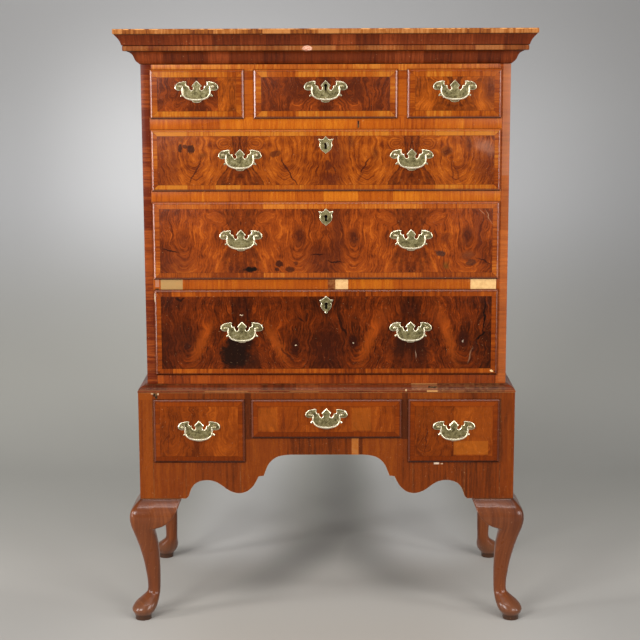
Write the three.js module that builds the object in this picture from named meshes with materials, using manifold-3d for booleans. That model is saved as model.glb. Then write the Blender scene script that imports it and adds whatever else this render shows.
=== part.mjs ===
// A walnut chest of drawers on a stand with cabriole legs.
// Millimetres, +Z up. The front faces -Y, and the floor is z = 0.
import * as THREE from "three";
import { mergeVertices } from "three/addons/utils/BufferGeometryUtils.js";
import Module from "manifold-3d";

const wasm = await Module();
wasm.setup();

// Fits
// seam: between pieces that are glued, nailed or rest on each other
const seam = 0.3;
// drawerClearance: at each side of a drawer; drawerHeadroom: above its sides
const drawerClearance = 1;
const drawerHeadroom = 4;
const drawerStop = 12;
const pinClearance = 0.3;
const cutOverrun = 2;

// Upper case
const caseWidth = 938;
const caseDepth = 492;
const caseSide = 26.5;
const railFace = 26;
const partitionFace = 24;
const topBand = 12;
const bottomBand = 23;
const railDepth = 60;
const boardThickness = 14;
const backThickness = 18;
const backBoards = 5;
const backGroove = 3;
const housingDepth = 6;
const guideHeight = 16;
const dividerThickness = 14;

// Drawers, over their lips
const shortDrawerHeight = 125;
const upperDrawerHeight = 158.5;
const middleDrawerHeight = 202;
const lowerDrawerHeight = 226.5;
const centreShortWidth = 366;
const lipOverlap = 4;
const lipProud = 8.5;
const lipEdge = 2.5;
const ovoloWidth = 7;
const frontThickness = 16;
const drawerSide = 10;
const drawerBottom = 7;

// Stand
const legHeight = 331;
const standHeight = 286;
const standProud = 23;
const standBoard = 22;
const standTopRail = 17;
const muntinFace = 16;
const standSideDrawerHeight = 170;
const standCentreDrawerWidth = 394;
const standCentreDrawerHeight = 105;
const standStile = 39;
const archRail = 45;
const sideArchRise = 64;
const backFoot = 90;
const runnerHeight = 20;
const runnerWidth = 15;
const bearerWidth = 40;
const bearerHeight = 16;

// Mouldings
const waistHeight = 20;
const waistProjection = 24;
const corniceHeight = 88;
const corniceProjection = 61;
const corniceBacking = 20;
const corniceBoard = 12;

// Legs
const legStock = 76;
const kneeProud = 28.6;
const earSpan = 109;
const earDrop = 79;
const earBack = 24;
const postStock = 46;
const rearToeShare = 0.75;

// Brass
const plateWidth = 110;
const plateHeight = 56.6;
const plateThickness = 1.8;
const ballRadius = 5.6;
const postReach = 13;
const neckRadius = 3;
const collarRadius = 5;
const collarHeight = 2;
const shankRadius = 2.2;
const nutRadius = 5.5;
const nutThickness = 4;
const bailPinRadius = 1.6;
const bailBarRadius = 3;
const bailDrop = 34;
const bailSpan = 68;
const bailGap = 2.4;
const pinReach = 4.5;
const handleRise = 15.5;
const shortHandleRise = 20.5;
const handleSpread = 438;
const escutcheonWidth = 39.5;
const escutcheonHeight = 45;
const escutcheonThickness = 1.6;
const escutcheonDrop = 40;
const keyRadius = 2.8;
const keySlotWidth = 2.6;
const keyHeight = 13;
const lockWidth = 58;
const lockHeight = 34;
const lockThickness = 8;

// Heights and places that follow from the sizes above. The upper case's front is y = 0.
const standTop = legHeight + standHeight;
const postSpacing = bailSpan + 2 * (ballRadius + bailGap);
const caseBase = standTop + seam;
const lowerLip = standTop + waistHeight + bottomBand;
const middleLip = lowerLip + lowerDrawerHeight + railFace;
const upperLip = middleLip + middleDrawerHeight + railFace;
const shortLip = upperLip + upperDrawerHeight + railFace;
const caseTop = shortLip + shortDrawerHeight + topBand;
const caseHalf = caseWidth / 2;
const caseInner = caseHalf - caseSide;
const caseBackFace = caseDepth - backThickness;
const standWidth = caseWidth + 2 * standProud;
const standHalf = standWidth / 2;
const standInner = standHalf - standBoard;
const standFront = -standProud;
const standFrontBack = standFront + standBoard;
const standSideDrawerWidth = standHalf - standStile - muntinFace - standCentreDrawerWidth / 2;
const standOpening = standHalf - standStile - lipOverlap;
const standLip = standTop - standTopRail;
const standCentreLip = standLip - standCentreDrawerHeight;
const standSideLip = standLip - standSideDrawerHeight;
const muntinNear = standCentreDrawerWidth / 2 - lipOverlap;
const muntinFar = standCentreDrawerWidth / 2 + muntinFace + lipOverlap;
const runnerTop = standSideLip + lipOverlap;
const centreRunnerTop = standCentreLip + lipOverlap;

const materials = {
  figured: { color: 0x8a4316, roughness: 0.3, metalness: 0 },
  crossGrain: { color: 0x9c5420, roughness: 0.32, metalness: 0 },
  solidWalnut: { color: 0x7d4320, roughness: 0.35, metalness: 0 },
  oak: { color: 0xa8875c, roughness: 0.7, metalness: 0 },
  brass: { color: 0xb09a5c, roughness: 0.32, metalness: 1 },
};

const assembly = new THREE.Group();

function addMesh(name, geometry, materialName, position = [0, 0, 0]) {
  const mesh = new THREE.Mesh(geometry, new THREE.MeshStandardMaterial(materials[materialName]));
  mesh.name = name;
  mesh.position.set(...position);
  assembly.add(mesh);
  return mesh;
}

// A closed three.js geometry as a solid that can be joined and cut.
function solidOf(geometry) {
  const bare = geometry.clone();
  bare.deleteAttribute("normal");
  bare.deleteAttribute("uv");
  const merged = mergeVertices(bare);
  const triVerts = merged.index.array;
  return new wasm.Manifold(
    new wasm.Mesh({ numProp: 3, vertProperties: merged.attributes.position.array, triVerts }),
  );
}

function geometryOf(solid) {
  const mesh = solid.getMesh();
  const indexed = new THREE.BufferGeometry();
  indexed.setAttribute("position", new THREE.BufferAttribute(mesh.vertProperties, 3));
  indexed.setIndex(new THREE.BufferAttribute(mesh.triVerts, 1));
  const flat = indexed.toNonIndexed();
  flat.computeVertexNormals();
  return flat;
}

function join(...geometries) {
  const solids = geometries.map(solidOf);
  return geometryOf(solids.reduce((whole, piece) => whole.add(piece)));
}

function cut(geometry, ...tools) {
  return geometryOf(tools.reduce((rest, tool) => rest.subtract(solidOf(tool)), solidOf(geometry)));
}

function common(first, second) {
  return geometryOf(solidOf(first).intersect(solidOf(second)));
}

function box(x0, x1, y0, y1, z0, z1) {
  const geometry = new THREE.BoxGeometry(x1 - x0, y1 - y0, z1 - z0);
  return geometry.translate((x0 + x1) / 2, (y0 + y1) / 2, (z0 + z1) / 2);
}

function shapeOf(points, holes = []) {
  const inPlane = (outline) => outline.map(([a, b]) => new THREE.Vector2(a, b));
  const shape = new THREE.Shape(inPlane(points));
  for (const hole of holes) shape.holes.push(new THREE.Path(inPlane(hole)));
  return shape;
}

const axes = {
  x: new THREE.Vector3(1, 0, 0),
  y: new THREE.Vector3(0, 1, 0),
  z: new THREE.Vector3(0, 0, 1),
};

// An outline of (y, z) points, drawn out along X.
function alongX(points, x0, x1, holes) {
  const geometry = new THREE.ExtrudeGeometry(shapeOf(points, holes), { depth: x1 - x0, bevelEnabled: false });
  geometry.applyMatrix4(new THREE.Matrix4().makeBasis(axes.y, axes.z, axes.x));
  return geometry.translate(x0, 0, 0);
}

// An outline of (x, z) points, drawn out along Y.
function alongY(points, y0, y1, holes) {
  const geometry = new THREE.ExtrudeGeometry(shapeOf(points, holes), { depth: y1 - y0, bevelEnabled: false });
  geometry.applyMatrix4(new THREE.Matrix4().makeBasis(axes.x, axes.z, axes.y.clone().negate()));
  return geometry.translate(0, y1, 0);
}

// An outline of (x, y) points, drawn out along Z.
function alongZ(points, z0, z1) {
  const geometry = new THREE.ExtrudeGeometry(shapeOf(points), { depth: z1 - z0, bevelEnabled: false });
  return geometry.translate(0, 0, z0);
}

// A closed skin over rings of as many points each, with both ends capped.
// capPoints gives the ring's outline in two dimensions, for the caps.
function loft(rings, capPoints) {
  const count = rings[0].length;
  const positions = rings.flat().flatMap((point) => [point.x, point.y, point.z]);
  const index = [];
  for (let ring = 0; ring + 1 < rings.length; ring++) {
    for (let side = 0; side < count; side++) {
      const a = ring * count + side;
      const b = ring * count + ((side + 1) % count);
      index.push(a, b, b + count, a, b + count, a + count);
    }
  }
  const last = (rings.length - 1) * count;
  for (const [a, b, c] of THREE.ShapeUtils.triangulateShape(capPoints, [])) {
    index.push(c, b, a, last + a, last + b, last + c);
  }
  const geometry = new THREE.BufferGeometry();
  geometry.setAttribute("position", new THREE.Float32BufferAttribute(positions, 3));
  geometry.setIndex(index);
  return facingOut(geometry);
}

function facingOut(geometry) {
  const turned = solidOf(geometry).volume() < 0;
  const index = geometry.index.array;
  for (let i = 0; turned && i < index.length; i += 3) {
    [index[i + 1], index[i + 2]] = [index[i + 2], index[i + 1]];
  }
  return geometry;
}

// A moulding mitred round the front and both sides: its profile holds (projection, height) points.
function mitredMoulding(profile, half, back, base) {
  const place = (x, y, outX, outY) =>
    profile.map(([out, up]) => new THREE.Vector3(x + outX * out, y - outY * out, base + up));
  const rings = [
    place(-half, back, -1, 0), place(-half, 0, -1, 1), place(half, 0, 1, 1), place(half, back, 1, 0),
  ];
  return loft(rings, profile.map(([out, up]) => new THREE.Vector2(out, up)));
}

// Upper case
const railBack = caseBackFace - seam;

// A rail across the front with the thin board behind it that the drawers above run on.
function railProfile(bottom, top) {
  return [
    [0, bottom],
    [railDepth, bottom],
    [railDepth, top - boardThickness],
    [railBack, top - boardThickness],
    [railBack, top],
    [0, top],
  ];
}

function grownProfile(bottom, top) {
  return [
    [-cutOverrun, bottom - seam],
    [railDepth + seam, bottom - seam],
    [railDepth + seam, top - boardThickness - seam],
    [railBack + seam, top - boardThickness - seam],
    [railBack + seam, top + seam],
    [-cutOverrun, top + seam],
  ];
}

const rails = {
  short: [upperLip + upperDrawerHeight - lipOverlap, shortLip + lipOverlap],
  upper: [middleLip + middleDrawerHeight - lipOverlap, upperLip + lipOverlap],
  lower: [lowerLip + lowerDrawerHeight - lipOverlap, middleLip + lipOverlap],
};
const railHalf = caseInner + housingDepth - seam;

function inOrder(a, b) {
  return [Math.min(a, b), Math.max(a, b)];
}

// A side with the housings of the rails, and a rebate for the back.
function caseSideBoard(side) {
  const edge = side * (caseInner + housingDepth);
  const inside = side * (caseInner - cutOverrun);
  const board = box(...inOrder(side * caseInner, side * caseHalf), 0, caseDepth, caseBase, caseTop);
  const housings = Object.values(rails).map(([bottom, top]) =>
    alongX(grownProfile(bottom, top), ...inOrder(inside, edge)));
  const rebate = box(
    ...inOrder(inside, edge), caseBackFace, caseDepth + cutOverrun,
    caseBase - cutOverrun, caseTop + cutOverrun,
  );
  return cut(board, ...housings, rebate);
}
addMesh("case_side_left", caseSideBoard(-1), "figured");
addMesh("case_side_right", caseSideBoard(1), "figured");

const bottomTop = lowerLip + lipOverlap;
addMesh(
  "case_bottom",
  alongX(railProfile(caseBase, bottomTop), seam - caseInner, caseInner - seam),
  "crossGrain",
);
addMesh(
  "case_top",
  box(seam - caseInner, caseInner - seam, 0, railBack, caseTop - topBand - lipOverlap, caseTop),
  "crossGrain",
);

function caseBack() {
  const half = caseInner + housingDepth - seam;
  const front = caseBackFace;
  const points = [[-half, front], [half, front]];
  for (let board = backBoards; board > 0; board--) {
    const right = -half + (2 * half * board) / backBoards;
    const left = -half + (2 * half * (board - 1)) / backBoards;
    points.push(board === backBoards ? [right, caseDepth] : [right - backGroove, caseDepth]);
    points.push(board === 1 ? [left, caseDepth] : [left + backGroove, caseDepth]);
    if (board > 1) points.push([left, caseDepth - backGroove]);
  }
  return alongZ(points, caseBase, caseTop);
}
addMesh("case_back", caseBack(), "oak");

const partitionNear = centreShortWidth / 2 - lipOverlap;
const partitionFar = centreShortWidth / 2 + partitionFace + lipOverlap;
const partitionMiddle = (partitionNear + partitionFar) / 2;

function shortDrawerRail() {
  const [bottom, top] = rails.short;
  const pieces = [alongX(railProfile(bottom, top), -railHalf, railHalf)];
  const head = caseTop - topBand - lipOverlap - seam;
  for (const side of [-1, 1]) {
    const [near, far] = inOrder(side * partitionNear, side * partitionFar);
    const middle = side * partitionMiddle;
    pieces.push(box(near, far, 0, railDepth, top - cutOverrun, head));
    pieces.push(box(near, far, railDepth - cutOverrun, railBack, top - cutOverrun, top + guideHeight));
    pieces.push(box(
      middle - dividerThickness / 2, middle + dividerThickness / 2,
      railDepth - cutOverrun, railBack, top - cutOverrun, head,
    ));
  }
  return join(...pieces);
}
addMesh("short_drawer_rail", shortDrawerRail(), "crossGrain");
addMesh("long_rail_upper", alongX(railProfile(...rails.upper), -railHalf, railHalf), "crossGrain");
addMesh("long_rail_lower", alongX(railProfile(...rails.lower), -railHalf, railHalf), "crossGrain");

// Cornice: shares of its projection and height, from the foot of the lower cyma to the top fascia
const lowerCymaShares = [[0.016, 0], [0.17, 0.16], [0.24, 0.3], [0.46, 0.364]];
const upperCoveShares = [[0.69, 0.56], [0.72, 0.66], [0.86, 0.76], [0.93, 0.84]];
const lowerFasciaShares = [[0.62, 0.38], [0.66, 0.4], [0.66, 0.52]];
const topFasciaShares = [[0.985, 0.86], [1, 0.89], [1, 1]];
const curveSteps = 5;

function curveThrough(shares) {
  const controls = shares.map(([out, up]) => new THREE.Vector2(out, up));
  const points = new THREE.CubicBezierCurve(...controls).getPoints(curveSteps);
  return points.map((point) => [point.x, point.y]);
}

function cornice() {
  const outline = [
    ...curveThrough(lowerCymaShares),
    ...lowerFasciaShares,
    ...curveThrough(upperCoveShares),
    ...topFasciaShares,
  ].map(([out, up]) => [corniceProjection * out, corniceHeight * up]);
  const profile = [...outline, [-corniceBacking, corniceHeight], [-corniceBacking, 0]];
  const base = caseTop + seam;
  const lid = base + corniceHeight - seam;
  const moulding = mitredMoulding(scaledTop(profile), caseHalf, caseDepth, base);
  const inner = caseHalf - corniceBacking + cutOverrun;
  const top = box(-inner, inner, corniceBacking - cutOverrun, caseDepth, lid - corniceBoard, lid);
  const rear = box(-inner, inner, caseDepth - corniceBoard, caseDepth, base, lid);
  return join(moulding, top, rear);
}

// The profile with its top lowered by the seam under it, so that the cornice keeps its overall height.
function scaledTop(profile) {
  return profile.map(([out, up]) => [out, Math.min(up, corniceHeight - seam)]);
}
addMesh("cornice", cornice(), "crossGrain");

// Waist moulding: a thumb profile that hides the joint of case and stand
const thumbShares = [[1, 0], [0.96, 0.2], [0.82, 0.36], [0.5, 0.62], [0, 1]];

function waistMoulding() {
  const outer = thumbShares.map(([out, up]) => [
    Math.max(waistProjection * out, seam),
    Math.max(waistHeight * up, seam),
  ]);
  const profile = [[seam, seam], ...outer];
  return mitredMoulding(profile, caseHalf, caseDepth, standTop);
}
addMesh("waist_moulding", waistMoulding(), "crossGrain");

// Stand front. The apron's lower edge, right half: shares of the half width and of the arch's rise
const apronShares = [
  [0.228, 1], [0.272, 0.87], [0.317, 0.647], [0.333, 0.529], [0.358, 0.513], [0.372, 0.38], [0.396, 0.24],
  [0.43, 0.14], [0.465, 0.118], [0.5, 0.16], [0.526, 0.218], [0.563, 0.336], [0.597, 0.395], [0.628, 0.416],
  [0.66, 0.39], [0.687, 0.328], [0.707, 0.227], [0.734, 0.067], [0.75, 0],
];
const archRise = standCentreLip - archRail - legHeight;

function standFrontBoard() {
  const right = apronShares.map(([out, up]) => [standHalf * out, legHeight + archRise * up]);
  const left = right.map(([x, z]) => [-x, z]).reverse();
  const outline = [
    [-standHalf, legHeight], ...left, ...right, [standHalf, legHeight],
    [standHalf, standTop], [-standHalf, standTop],
  ];
  const hole = (x0, x1, z0) => [
    [x0, z0], [x0, standLip - lipOverlap], [x1, standLip - lipOverlap], [x1, z0],
  ];
  const holes = [
    hole(-standOpening, -muntinFar, runnerTop),
    hole(-muntinNear, muntinNear, centreRunnerTop),
    hole(muntinFar, standOpening, runnerTop),
  ];
  return alongY(outline, standFront, standFrontBack, holes);
}
addMesh("stand_front", standFrontBoard(), "crossGrain");

// Stand sides, each with a shaped lower edge, the outer runner and guide, and the bearer of the case
const sideEdgeShares = [[0.16, 0], [0.2, 0.45], [0.25, 0.62], [0.34, 0.7], [0.4, 0.86], [0.5, 1]];

function standSideBoard(side) {
  const front = standFrontBack + seam;
  const span = caseDepth - front;
  const rising = sideEdgeShares.map(([along, up]) => [front + span * along, legHeight + sideArchRise * up]);
  const falling = rising.slice(0, -1).map(([y, z]) => [2 * (front + span / 2) - y, z]).reverse();
  const outline = [
    [front, legHeight], ...rising, ...falling, [caseDepth, legHeight],
    [caseDepth, standTop], [front, standTop],
  ];
  const across = (near, far) => inOrder(side * near, side * far);
  const back = caseBackFace - seam;
  return join(
    alongX(outline, ...across(standInner, standHalf)),
    box(...across(standOpening - runnerWidth, standInner + cutOverrun), front, back,
      runnerTop - runnerHeight, runnerTop - seam),
    box(...across(standOpening, standInner + cutOverrun), front, back,
      runnerTop - runnerHeight, runnerTop + guideHeight),
    box(...across(standInner - bearerWidth, standInner + cutOverrun), front, back,
      standTop - bearerHeight, standTop),
  );
}
addMesh("stand_side_left", standSideBoard(-1), "figured");
addMesh("stand_side_right", standSideBoard(1), "figured");

// Stand back, with the two muntin boards that carry and guide the drawers' inner sides
function standBack() {
  const half = standInner - seam;
  const front = standFrontBack + seam;
  const lower = runnerTop - runnerHeight;
  const middle = (muntinNear + muntinFar) / 2;
  const head = standLip - lipOverlap;
  const edge = legHeight + sideArchRise;
  const outline = [
    [-half, legHeight], [backFoot - half, legHeight], [backFoot + sideArchRise / 2 - half, edge],
    [half - backFoot - sideArchRise / 2, edge], [half - backFoot, legHeight], [half, legHeight],
    [half, standTop], [-half, standTop],
  ];
  const pieces = [alongY(outline, caseBackFace, caseDepth)];
  for (const side of [-1, 1]) {
    const bar = (near, far, z0, z1) =>
      box(...inOrder(side * near, side * far), front, caseBackFace + cutOverrun, z0, z1);
    pieces.push(bar(middle - dividerThickness / 2, middle + dividerThickness / 2, lower, head));
    pieces.push(bar(middle, muntinFar + runnerWidth, lower, runnerTop - seam));
    pieces.push(bar(middle, muntinFar, lower, runnerTop + guideHeight));
    const inner = centreRunnerTop - runnerHeight;
    pieces.push(bar(muntinNear - runnerWidth, middle, inner, centreRunnerTop - seam));
    pieces.push(bar(muntinNear, middle, inner, centreRunnerTop + guideHeight));
  }
  return join(...pieces);
}
addMesh("stand_back", standBack(), "oak");

// Legs. Each row: share of the leg's height, shares of the stock outside and inside the stand's face,
// and how square the section is (2 is a circle).
const legShares = [
  [1, 0, 0.62, 12],
  [0.971, 0.124, 0.62, 9],
  [0.941, 0.241, 0.62, 7],
  [0.909, 0.33, 0.62, 5.5],
  [0.873, 0.372, 0.62, 4.6],
  [0.825, 0.376, 0.6, 4],
  [0.776, 0.334, 0.54, 3.6],
  [0.73, 0.268, 0.49, 3.3],
  [0.682, 0.188, 0.525, 3],
  [0.602, 0.083, 0.585, 2.8],
  [0.482, -0.057, 0.615, 2.6],
  [0.362, -0.163, 0.625, 2.4],
  [0.282, -0.18, 0.616, 2.3],
  [0.185, -0.009, 0.583, 2.1],
  [0.151, 0.184, 0.558, 2],
  [0.128, 0.3, 0.534, 2],
  [0.087, 0.378, 0.468, 2],
  [0.063, 0.355, 0.401, 2],
  [0.042, 0.296, 0.32, 2],
  [0.04, 0.276, 0.297, 2],
  [0, 0.27, 0.295, 2],
];
const ankleRow = 12;
const ringSides = 16;
const earOutlineShares = [
  [0.06, 1], [1, 1], [0.95, 0.84], [0.89, 0.63], [0.79, 0.41], [0.655, 0.2], [0.51, 0.09], [0.37, 0.03],
  [0.2, 0], [0.06, 0],
];
const earFaceShares = [
  [0, 1], [0.32, 0.88], [0.62, 0.755], [0.85, 0.62], [0.97, 0.47], [0.96, 0.27], [0.8, 0.02],
];

function legRing([up, out, inside, squareness], row, toeShare) {
  const half = (legStock * (out + inside)) / 2;
  const ankle = (legStock * (legShares[ankleRow][1] - legShares[ankleRow][2])) / 2;
  const centre = (legStock * (out - inside)) / 2;
  const lateral = row > ankleRow ? ankle + (centre - ankle) * toeShare : centre;
  const ring = [];
  for (let side = 0; side < ringSides; side++) {
    const angle = (2 * Math.PI * side) / ringSides;
    const stretch = (value) => half * Math.sign(value) * Math.abs(value) ** (2 / squareness);
    const x = lateral + stretch(Math.cos(angle));
    const y = centre + stretch(Math.sin(angle));
    ring.push(new THREE.Vector3(x, y, Math.min(legHeight * up, legHeight - seam)));
  }
  return ring;
}

// An ear beside the knee, in the leg's own frame: the knee's face profile carried along X and cut
// to the ear's outline.
function ear() {
  const top = legHeight - seam;
  const height = (up) => top - earDrop + earDrop * up;
  const outline = earOutlineShares.map(([along, up]) => [-earSpan * along, height(up)]).reverse();
  const face = [
    [-earBack, height(1)], [-earBack, height(0)],
    ...earFaceShares.map(([out, up]) => [kneeProud * out, height(up)]).reverse(),
  ];
  const slab = alongX(face, -earSpan - cutOverrun, 0);
  return common(alongY(outline, -earBack - cutOverrun, kneeProud + cutOverrun), slab);
}

// A leg with +X and +Y outwards from its corner of the stand, so that the origin is that corner.
function leg(toeShare, ears) {
  const rings = legShares.map((row, index) => legRing(row, index, toeShare));
  const cap = rings[0].map((point) => new THREE.Vector2(point.x, point.y));
  const pieces = [loft(rings, cap)];
  const front = ear();
  pieces.push(front);
  if (ears > 1) {
    const swap = new THREE.Matrix4().makeBasis(axes.y, axes.x, axes.z);
    pieces.push(facingOut(mergedCopy(front).applyMatrix4(swap)));
  }
  const inner = -standBoard - seam;
  pieces.push(box(
    -postStock, inner, -postStock, inner, legHeight - cutOverrun, runnerTop - runnerHeight - seam,
  ));
  return join(...pieces);
}

function mergedCopy(geometry) {
  const bare = geometry.clone();
  bare.deleteAttribute("normal");
  bare.deleteAttribute("uv");
  return mergeVertices(bare);
}

const frontLeg = leg(1, 2);
const rearLeg = leg(rearToeShare, 1);
for (const [name, side] of [["left", -1], ["right", 1]]) {
  const front = addMesh(`leg_front_${name}`, frontLeg, "solidWalnut", [side * standHalf, standFront, 0]);
  front.scale.set(side, -1, 1);
  const rear = addMesh(`leg_rear_${name}`, rearLeg, "solidWalnut", [side * standHalf, caseDepth, 0]);
  rear.scale.set(side, 1, 1);
}

// Drawers. A front's field stands proud of the case, with an ovolo round it down to a thin lip.
const ovoloSteps = 4;

function lipRings(width, height) {
  const back = -seam;
  const rings = [];
  const rectangle = (inset, y) => {
    const [x, z] = [width / 2 - inset, height / 2 - inset];
    rings.push([[-x, -z], [x, -z], [x, z], [-x, z]].map(([a, b]) => new THREE.Vector3(a, y, b)));
  };
  const tuck = lipOverlap + drawerClearance;
  rectangle(tuck, frontThickness);
  rectangle(tuck, back);
  rectangle(0, back);
  for (let step = 0; step <= ovoloSteps; step++) {
    const angle = (Math.PI / 2) * (step / ovoloSteps);
    const inset = ovoloWidth * (1 - Math.cos(angle));
    rectangle(inset, -lipEdge - (lipProud - lipEdge) * Math.sin(angle));
  }
  return rings;
}

const holeSides = 6;

// A keyhole through everything, as an (x, z) outline round the middle of its bow.
function keyholeOutline(x, z) {
  const bow = [];
  const spread = Math.asin(keySlotWidth / 2 / keyRadius);
  for (let step = 0; step <= holeSides; step++) {
    const angle = -Math.PI / 2 + spread + (2 * Math.PI - 2 * spread) * (step / holeSides);
    bow.push([x + keyRadius * Math.cos(angle), z + keyRadius * Math.sin(angle)]);
  }
  const foot = z + keyRadius - keyHeight;
  return [...bow, [x - keySlotWidth / 2, foot], [x + keySlotWidth / 2, foot]];
}

const escutcheonShares = [
  [0, 1], [0.2, 0.86], [0.34, 0.8], [0.62, 0.86], [0.86, 0.78], [1, 0.66], [0.84, 0.58], [0.76, 0.46],
  [0.86, 0.34], [0.72, 0.26], [0.5, 0.2], [0.22, 0.1], [0, 0],
];

function escutcheonOutline(z) {
  const right = escutcheonShares.map(([out, up]) => [
    (escutcheonWidth / 2) * out, z + escutcheonHeight * (up - 1 / 2),
  ]);
  const left = right.slice(1, -1).map(([x, y]) => [-x, y]).reverse();
  return [...right, ...left].reverse();
}

// spec: name, centre x, lip z, width, height, front plane y, handle places [x, rise], key and escutcheon
function drawerFront(spec) {
  const rings = lipRings(spec.width, spec.height);
  const cap = rings[0].map((point) => new THREE.Vector2(point.x, point.z));
  let front = loft(rings, cap);
  const face = -lipProud;
  const keyZ = spec.escutcheon ? spec.height / 2 - escutcheonDrop : spec.rise;
  if (spec.escutcheon) {
    front = join(front, alongY(escutcheonOutline(keyZ), face - escutcheonThickness, face + seam));
  }
  if (spec.keyed) {
    const back = frontThickness;
    front = join(front, box(
      -lockWidth / 2, lockWidth / 2, back - cutOverrun, back + lockThickness,
      keyZ - lockHeight / 2, keyZ + lockHeight / 2,
    ));
    const hole = alongY(keyholeOutline(0, keyZ), face - cutOverrun, back);
    front = cut(front, hole);
  }
  const posts = spec.handles.flatMap((x) => [x - postSpacing / 2, x + postSpacing / 2]);
  return cut(front, ...posts.map((x) => shankHole(x, spec.rise)));
}

function shankHole(x, z) {
  const radius = shankRadius + 2 * seam;
  const length = lipProud + frontThickness + 2 * cutOverrun;
  const hole = new THREE.CylinderGeometry(radius, radius, length, holeSides);
  return hole.translate(x, (frontThickness - lipProud) / 2, z);
}

// The oak box behind a front, open above and closed in front by that front.
function drawerBox(spec, backFace) {
  const half = spec.width / 2 - lipOverlap - drawerClearance;
  const bottom = seam + lipOverlap - spec.height / 2;
  const top = spec.height / 2 - lipOverlap - drawerHeadroom;
  const front = frontThickness + seam;
  const back = backFace - spec.front - drawerStop;
  const tray = box(-half, half, front, back, bottom, top);
  const space = box(
    drawerSide - half, half - drawerSide, front - cutOverrun, back - drawerSide,
    bottom + drawerBottom, top + cutOverrun,
  );
  return cut(tray, space);
}

// Brass. A back plate: shares of half its width, and of its height from the post axis.
const plateShares = [
  [0, 0.247], [0.2, 0.05], [0.235, 0], [0.15, -0.09], [0.247, -0.187], [0.35, 0], [0.47, 0.03], [0.49, 0.13],
  [0.45, 0.19], [0.56, 0.205], [0.8, 0.155], [0.95, 0.06], [1, -0.07], [0.94, -0.15], [0.83, -0.187],
  [0.65, -0.22], [0.72, -0.32], [0.7, -0.42], [0.56, -0.46], [0.5, -0.54], [0.35, -0.56], [0.27, -0.64],
  [0.16, -0.65], [0, -0.753],
];

function plateOutline() {
  const right = plateShares.map(([out, up]) => [(plateWidth / 2) * out, plateHeight * up]);
  const left = right.slice(1, -1).map(([x, z]) => [-x, z]).reverse();
  return [...right, ...left].reverse();
}

const postTurns = 6;
const ballSteps = 5;

// A post turned round its own axis: nut, shank, collar, neck and ball, from the back to the front.
function post() {
  const grip = lipProud + frontThickness;
  const nutFront = -grip - seam;
  const start = seam + cutOverrun / 2;
  const ball = seam + plateThickness + postReach;
  const neckTop = ball - ballRadius * Math.cos(Math.PI / ballSteps);
  const profile = [
    [0, nutFront - nutThickness], [nutRadius, nutFront - nutThickness], [nutRadius, nutFront],
    [shankRadius, nutFront], [shankRadius, start], [collarRadius, start],
    [collarRadius, seam + plateThickness + collarHeight], [neckRadius, neckTop],
  ];
  for (let step = 2; step < ballSteps; step++) {
    const angle = (Math.PI * step) / ballSteps;
    profile.push([ballRadius * Math.sin(angle), ball - ballRadius * Math.cos(angle)]);
  }
  profile.push([0, ball + ballRadius]);
  const points = profile.map(([r, h]) => new THREE.Vector2(r, h));
  const geometry = new THREE.LatheGeometry(points, postTurns);
  return geometry.rotateX(Math.PI);
}

const ballDepth = seam + plateThickness + postReach;
const boreRadius = (bailPinRadius + pinClearance) / Math.cos(Math.PI / postTurns);

// A plate with its two posts: the origin is on the drawer's face, at the middle of the bail's axis.
function handlePlate(keyed) {
  const holes = keyed ? [keyholeOutline(0, 0).reverse()] : [];
  const pieces = [alongY(plateOutline(), -plateThickness - seam, -seam, holes)];
  for (const side of [-1, 1]) {
    const geometry = post();
    pieces.push(geometry.translate((side * postSpacing) / 2, 0, 0));
  }
  const plate = join(...pieces);
  const length = bailSpan / 2 + pinReach + 2 * pinClearance + bailPinRadius;
  const bores = [-1, 1].map((side) => {
    const bore = new THREE.CylinderGeometry(boreRadius, boreRadius, length, postTurns).rotateZ(Math.PI / 2);
    return bore.translate((side * length) / 2, -ballDepth, 0);
  });
  return cut(plate, ...bores);
}

// A bail, hanging from its pins. Shares of half the span and of the drop along its middle line.
const bailShares = [[1, 0], [1.02, 0.2], [1.04, 0.45], [0.94, 0.68], [0.74, 0.86], [0.4, 0.96], [0, 1]];
const bailSides = 6;

function bail() {
  const pinEnd = bailSpan / 2 + pinReach;
  const elbow = bailPinRadius;
  const right = [
    [pinEnd, 0], [bailSpan / 2 + elbow, 0],
    ...bailShares.slice(1).map(([out, down]) => [(bailSpan / 2) * out, -bailDrop * down]),
  ];
  const left = right.slice(0, -1).map(([x, z]) => [-x, z]).reverse();
  const path = [...right, ...left];
  const rings = path.map(([x, z], index) => {
    const before = path[Math.max(index - 1, 0)];
    const after = path[Math.min(index + 1, path.length - 1)];
    const along = new THREE.Vector2(after[0] - before[0], after[1] - before[1]).normalize();
    const swell = (1 - Math.abs(x) / pinEnd) * (-z / bailDrop);
    const radius = bailPinRadius + (bailBarRadius - bailPinRadius) * swell;
    return Array.from({ length: bailSides }, (_, side) => {
      const angle = (2 * Math.PI * side) / bailSides;
      const across = radius * Math.cos(angle);
      return new THREE.Vector3(x - along.y * across, radius * Math.sin(angle), z + along.x * across);
    });
  });
  const cap = rings[0].map((_, side) => {
    const angle = (2 * Math.PI * side) / bailSides;
    return new THREE.Vector2(Math.cos(angle), Math.sin(angle));
  });
  return loft(rings, cap);
}

const shortSideWidth = caseInner + lipOverlap - centreShortWidth / 2 - partitionFace;
const shortSideX = centreShortWidth / 2 + partitionFace + shortSideWidth / 2;
const longWidth = 2 * (caseInner + lipOverlap);
const standSideX = standCentreDrawerWidth / 2 + muntinFace + standSideDrawerWidth / 2;
const pair = [-handleSpread / 2, handleSpread / 2];

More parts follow.
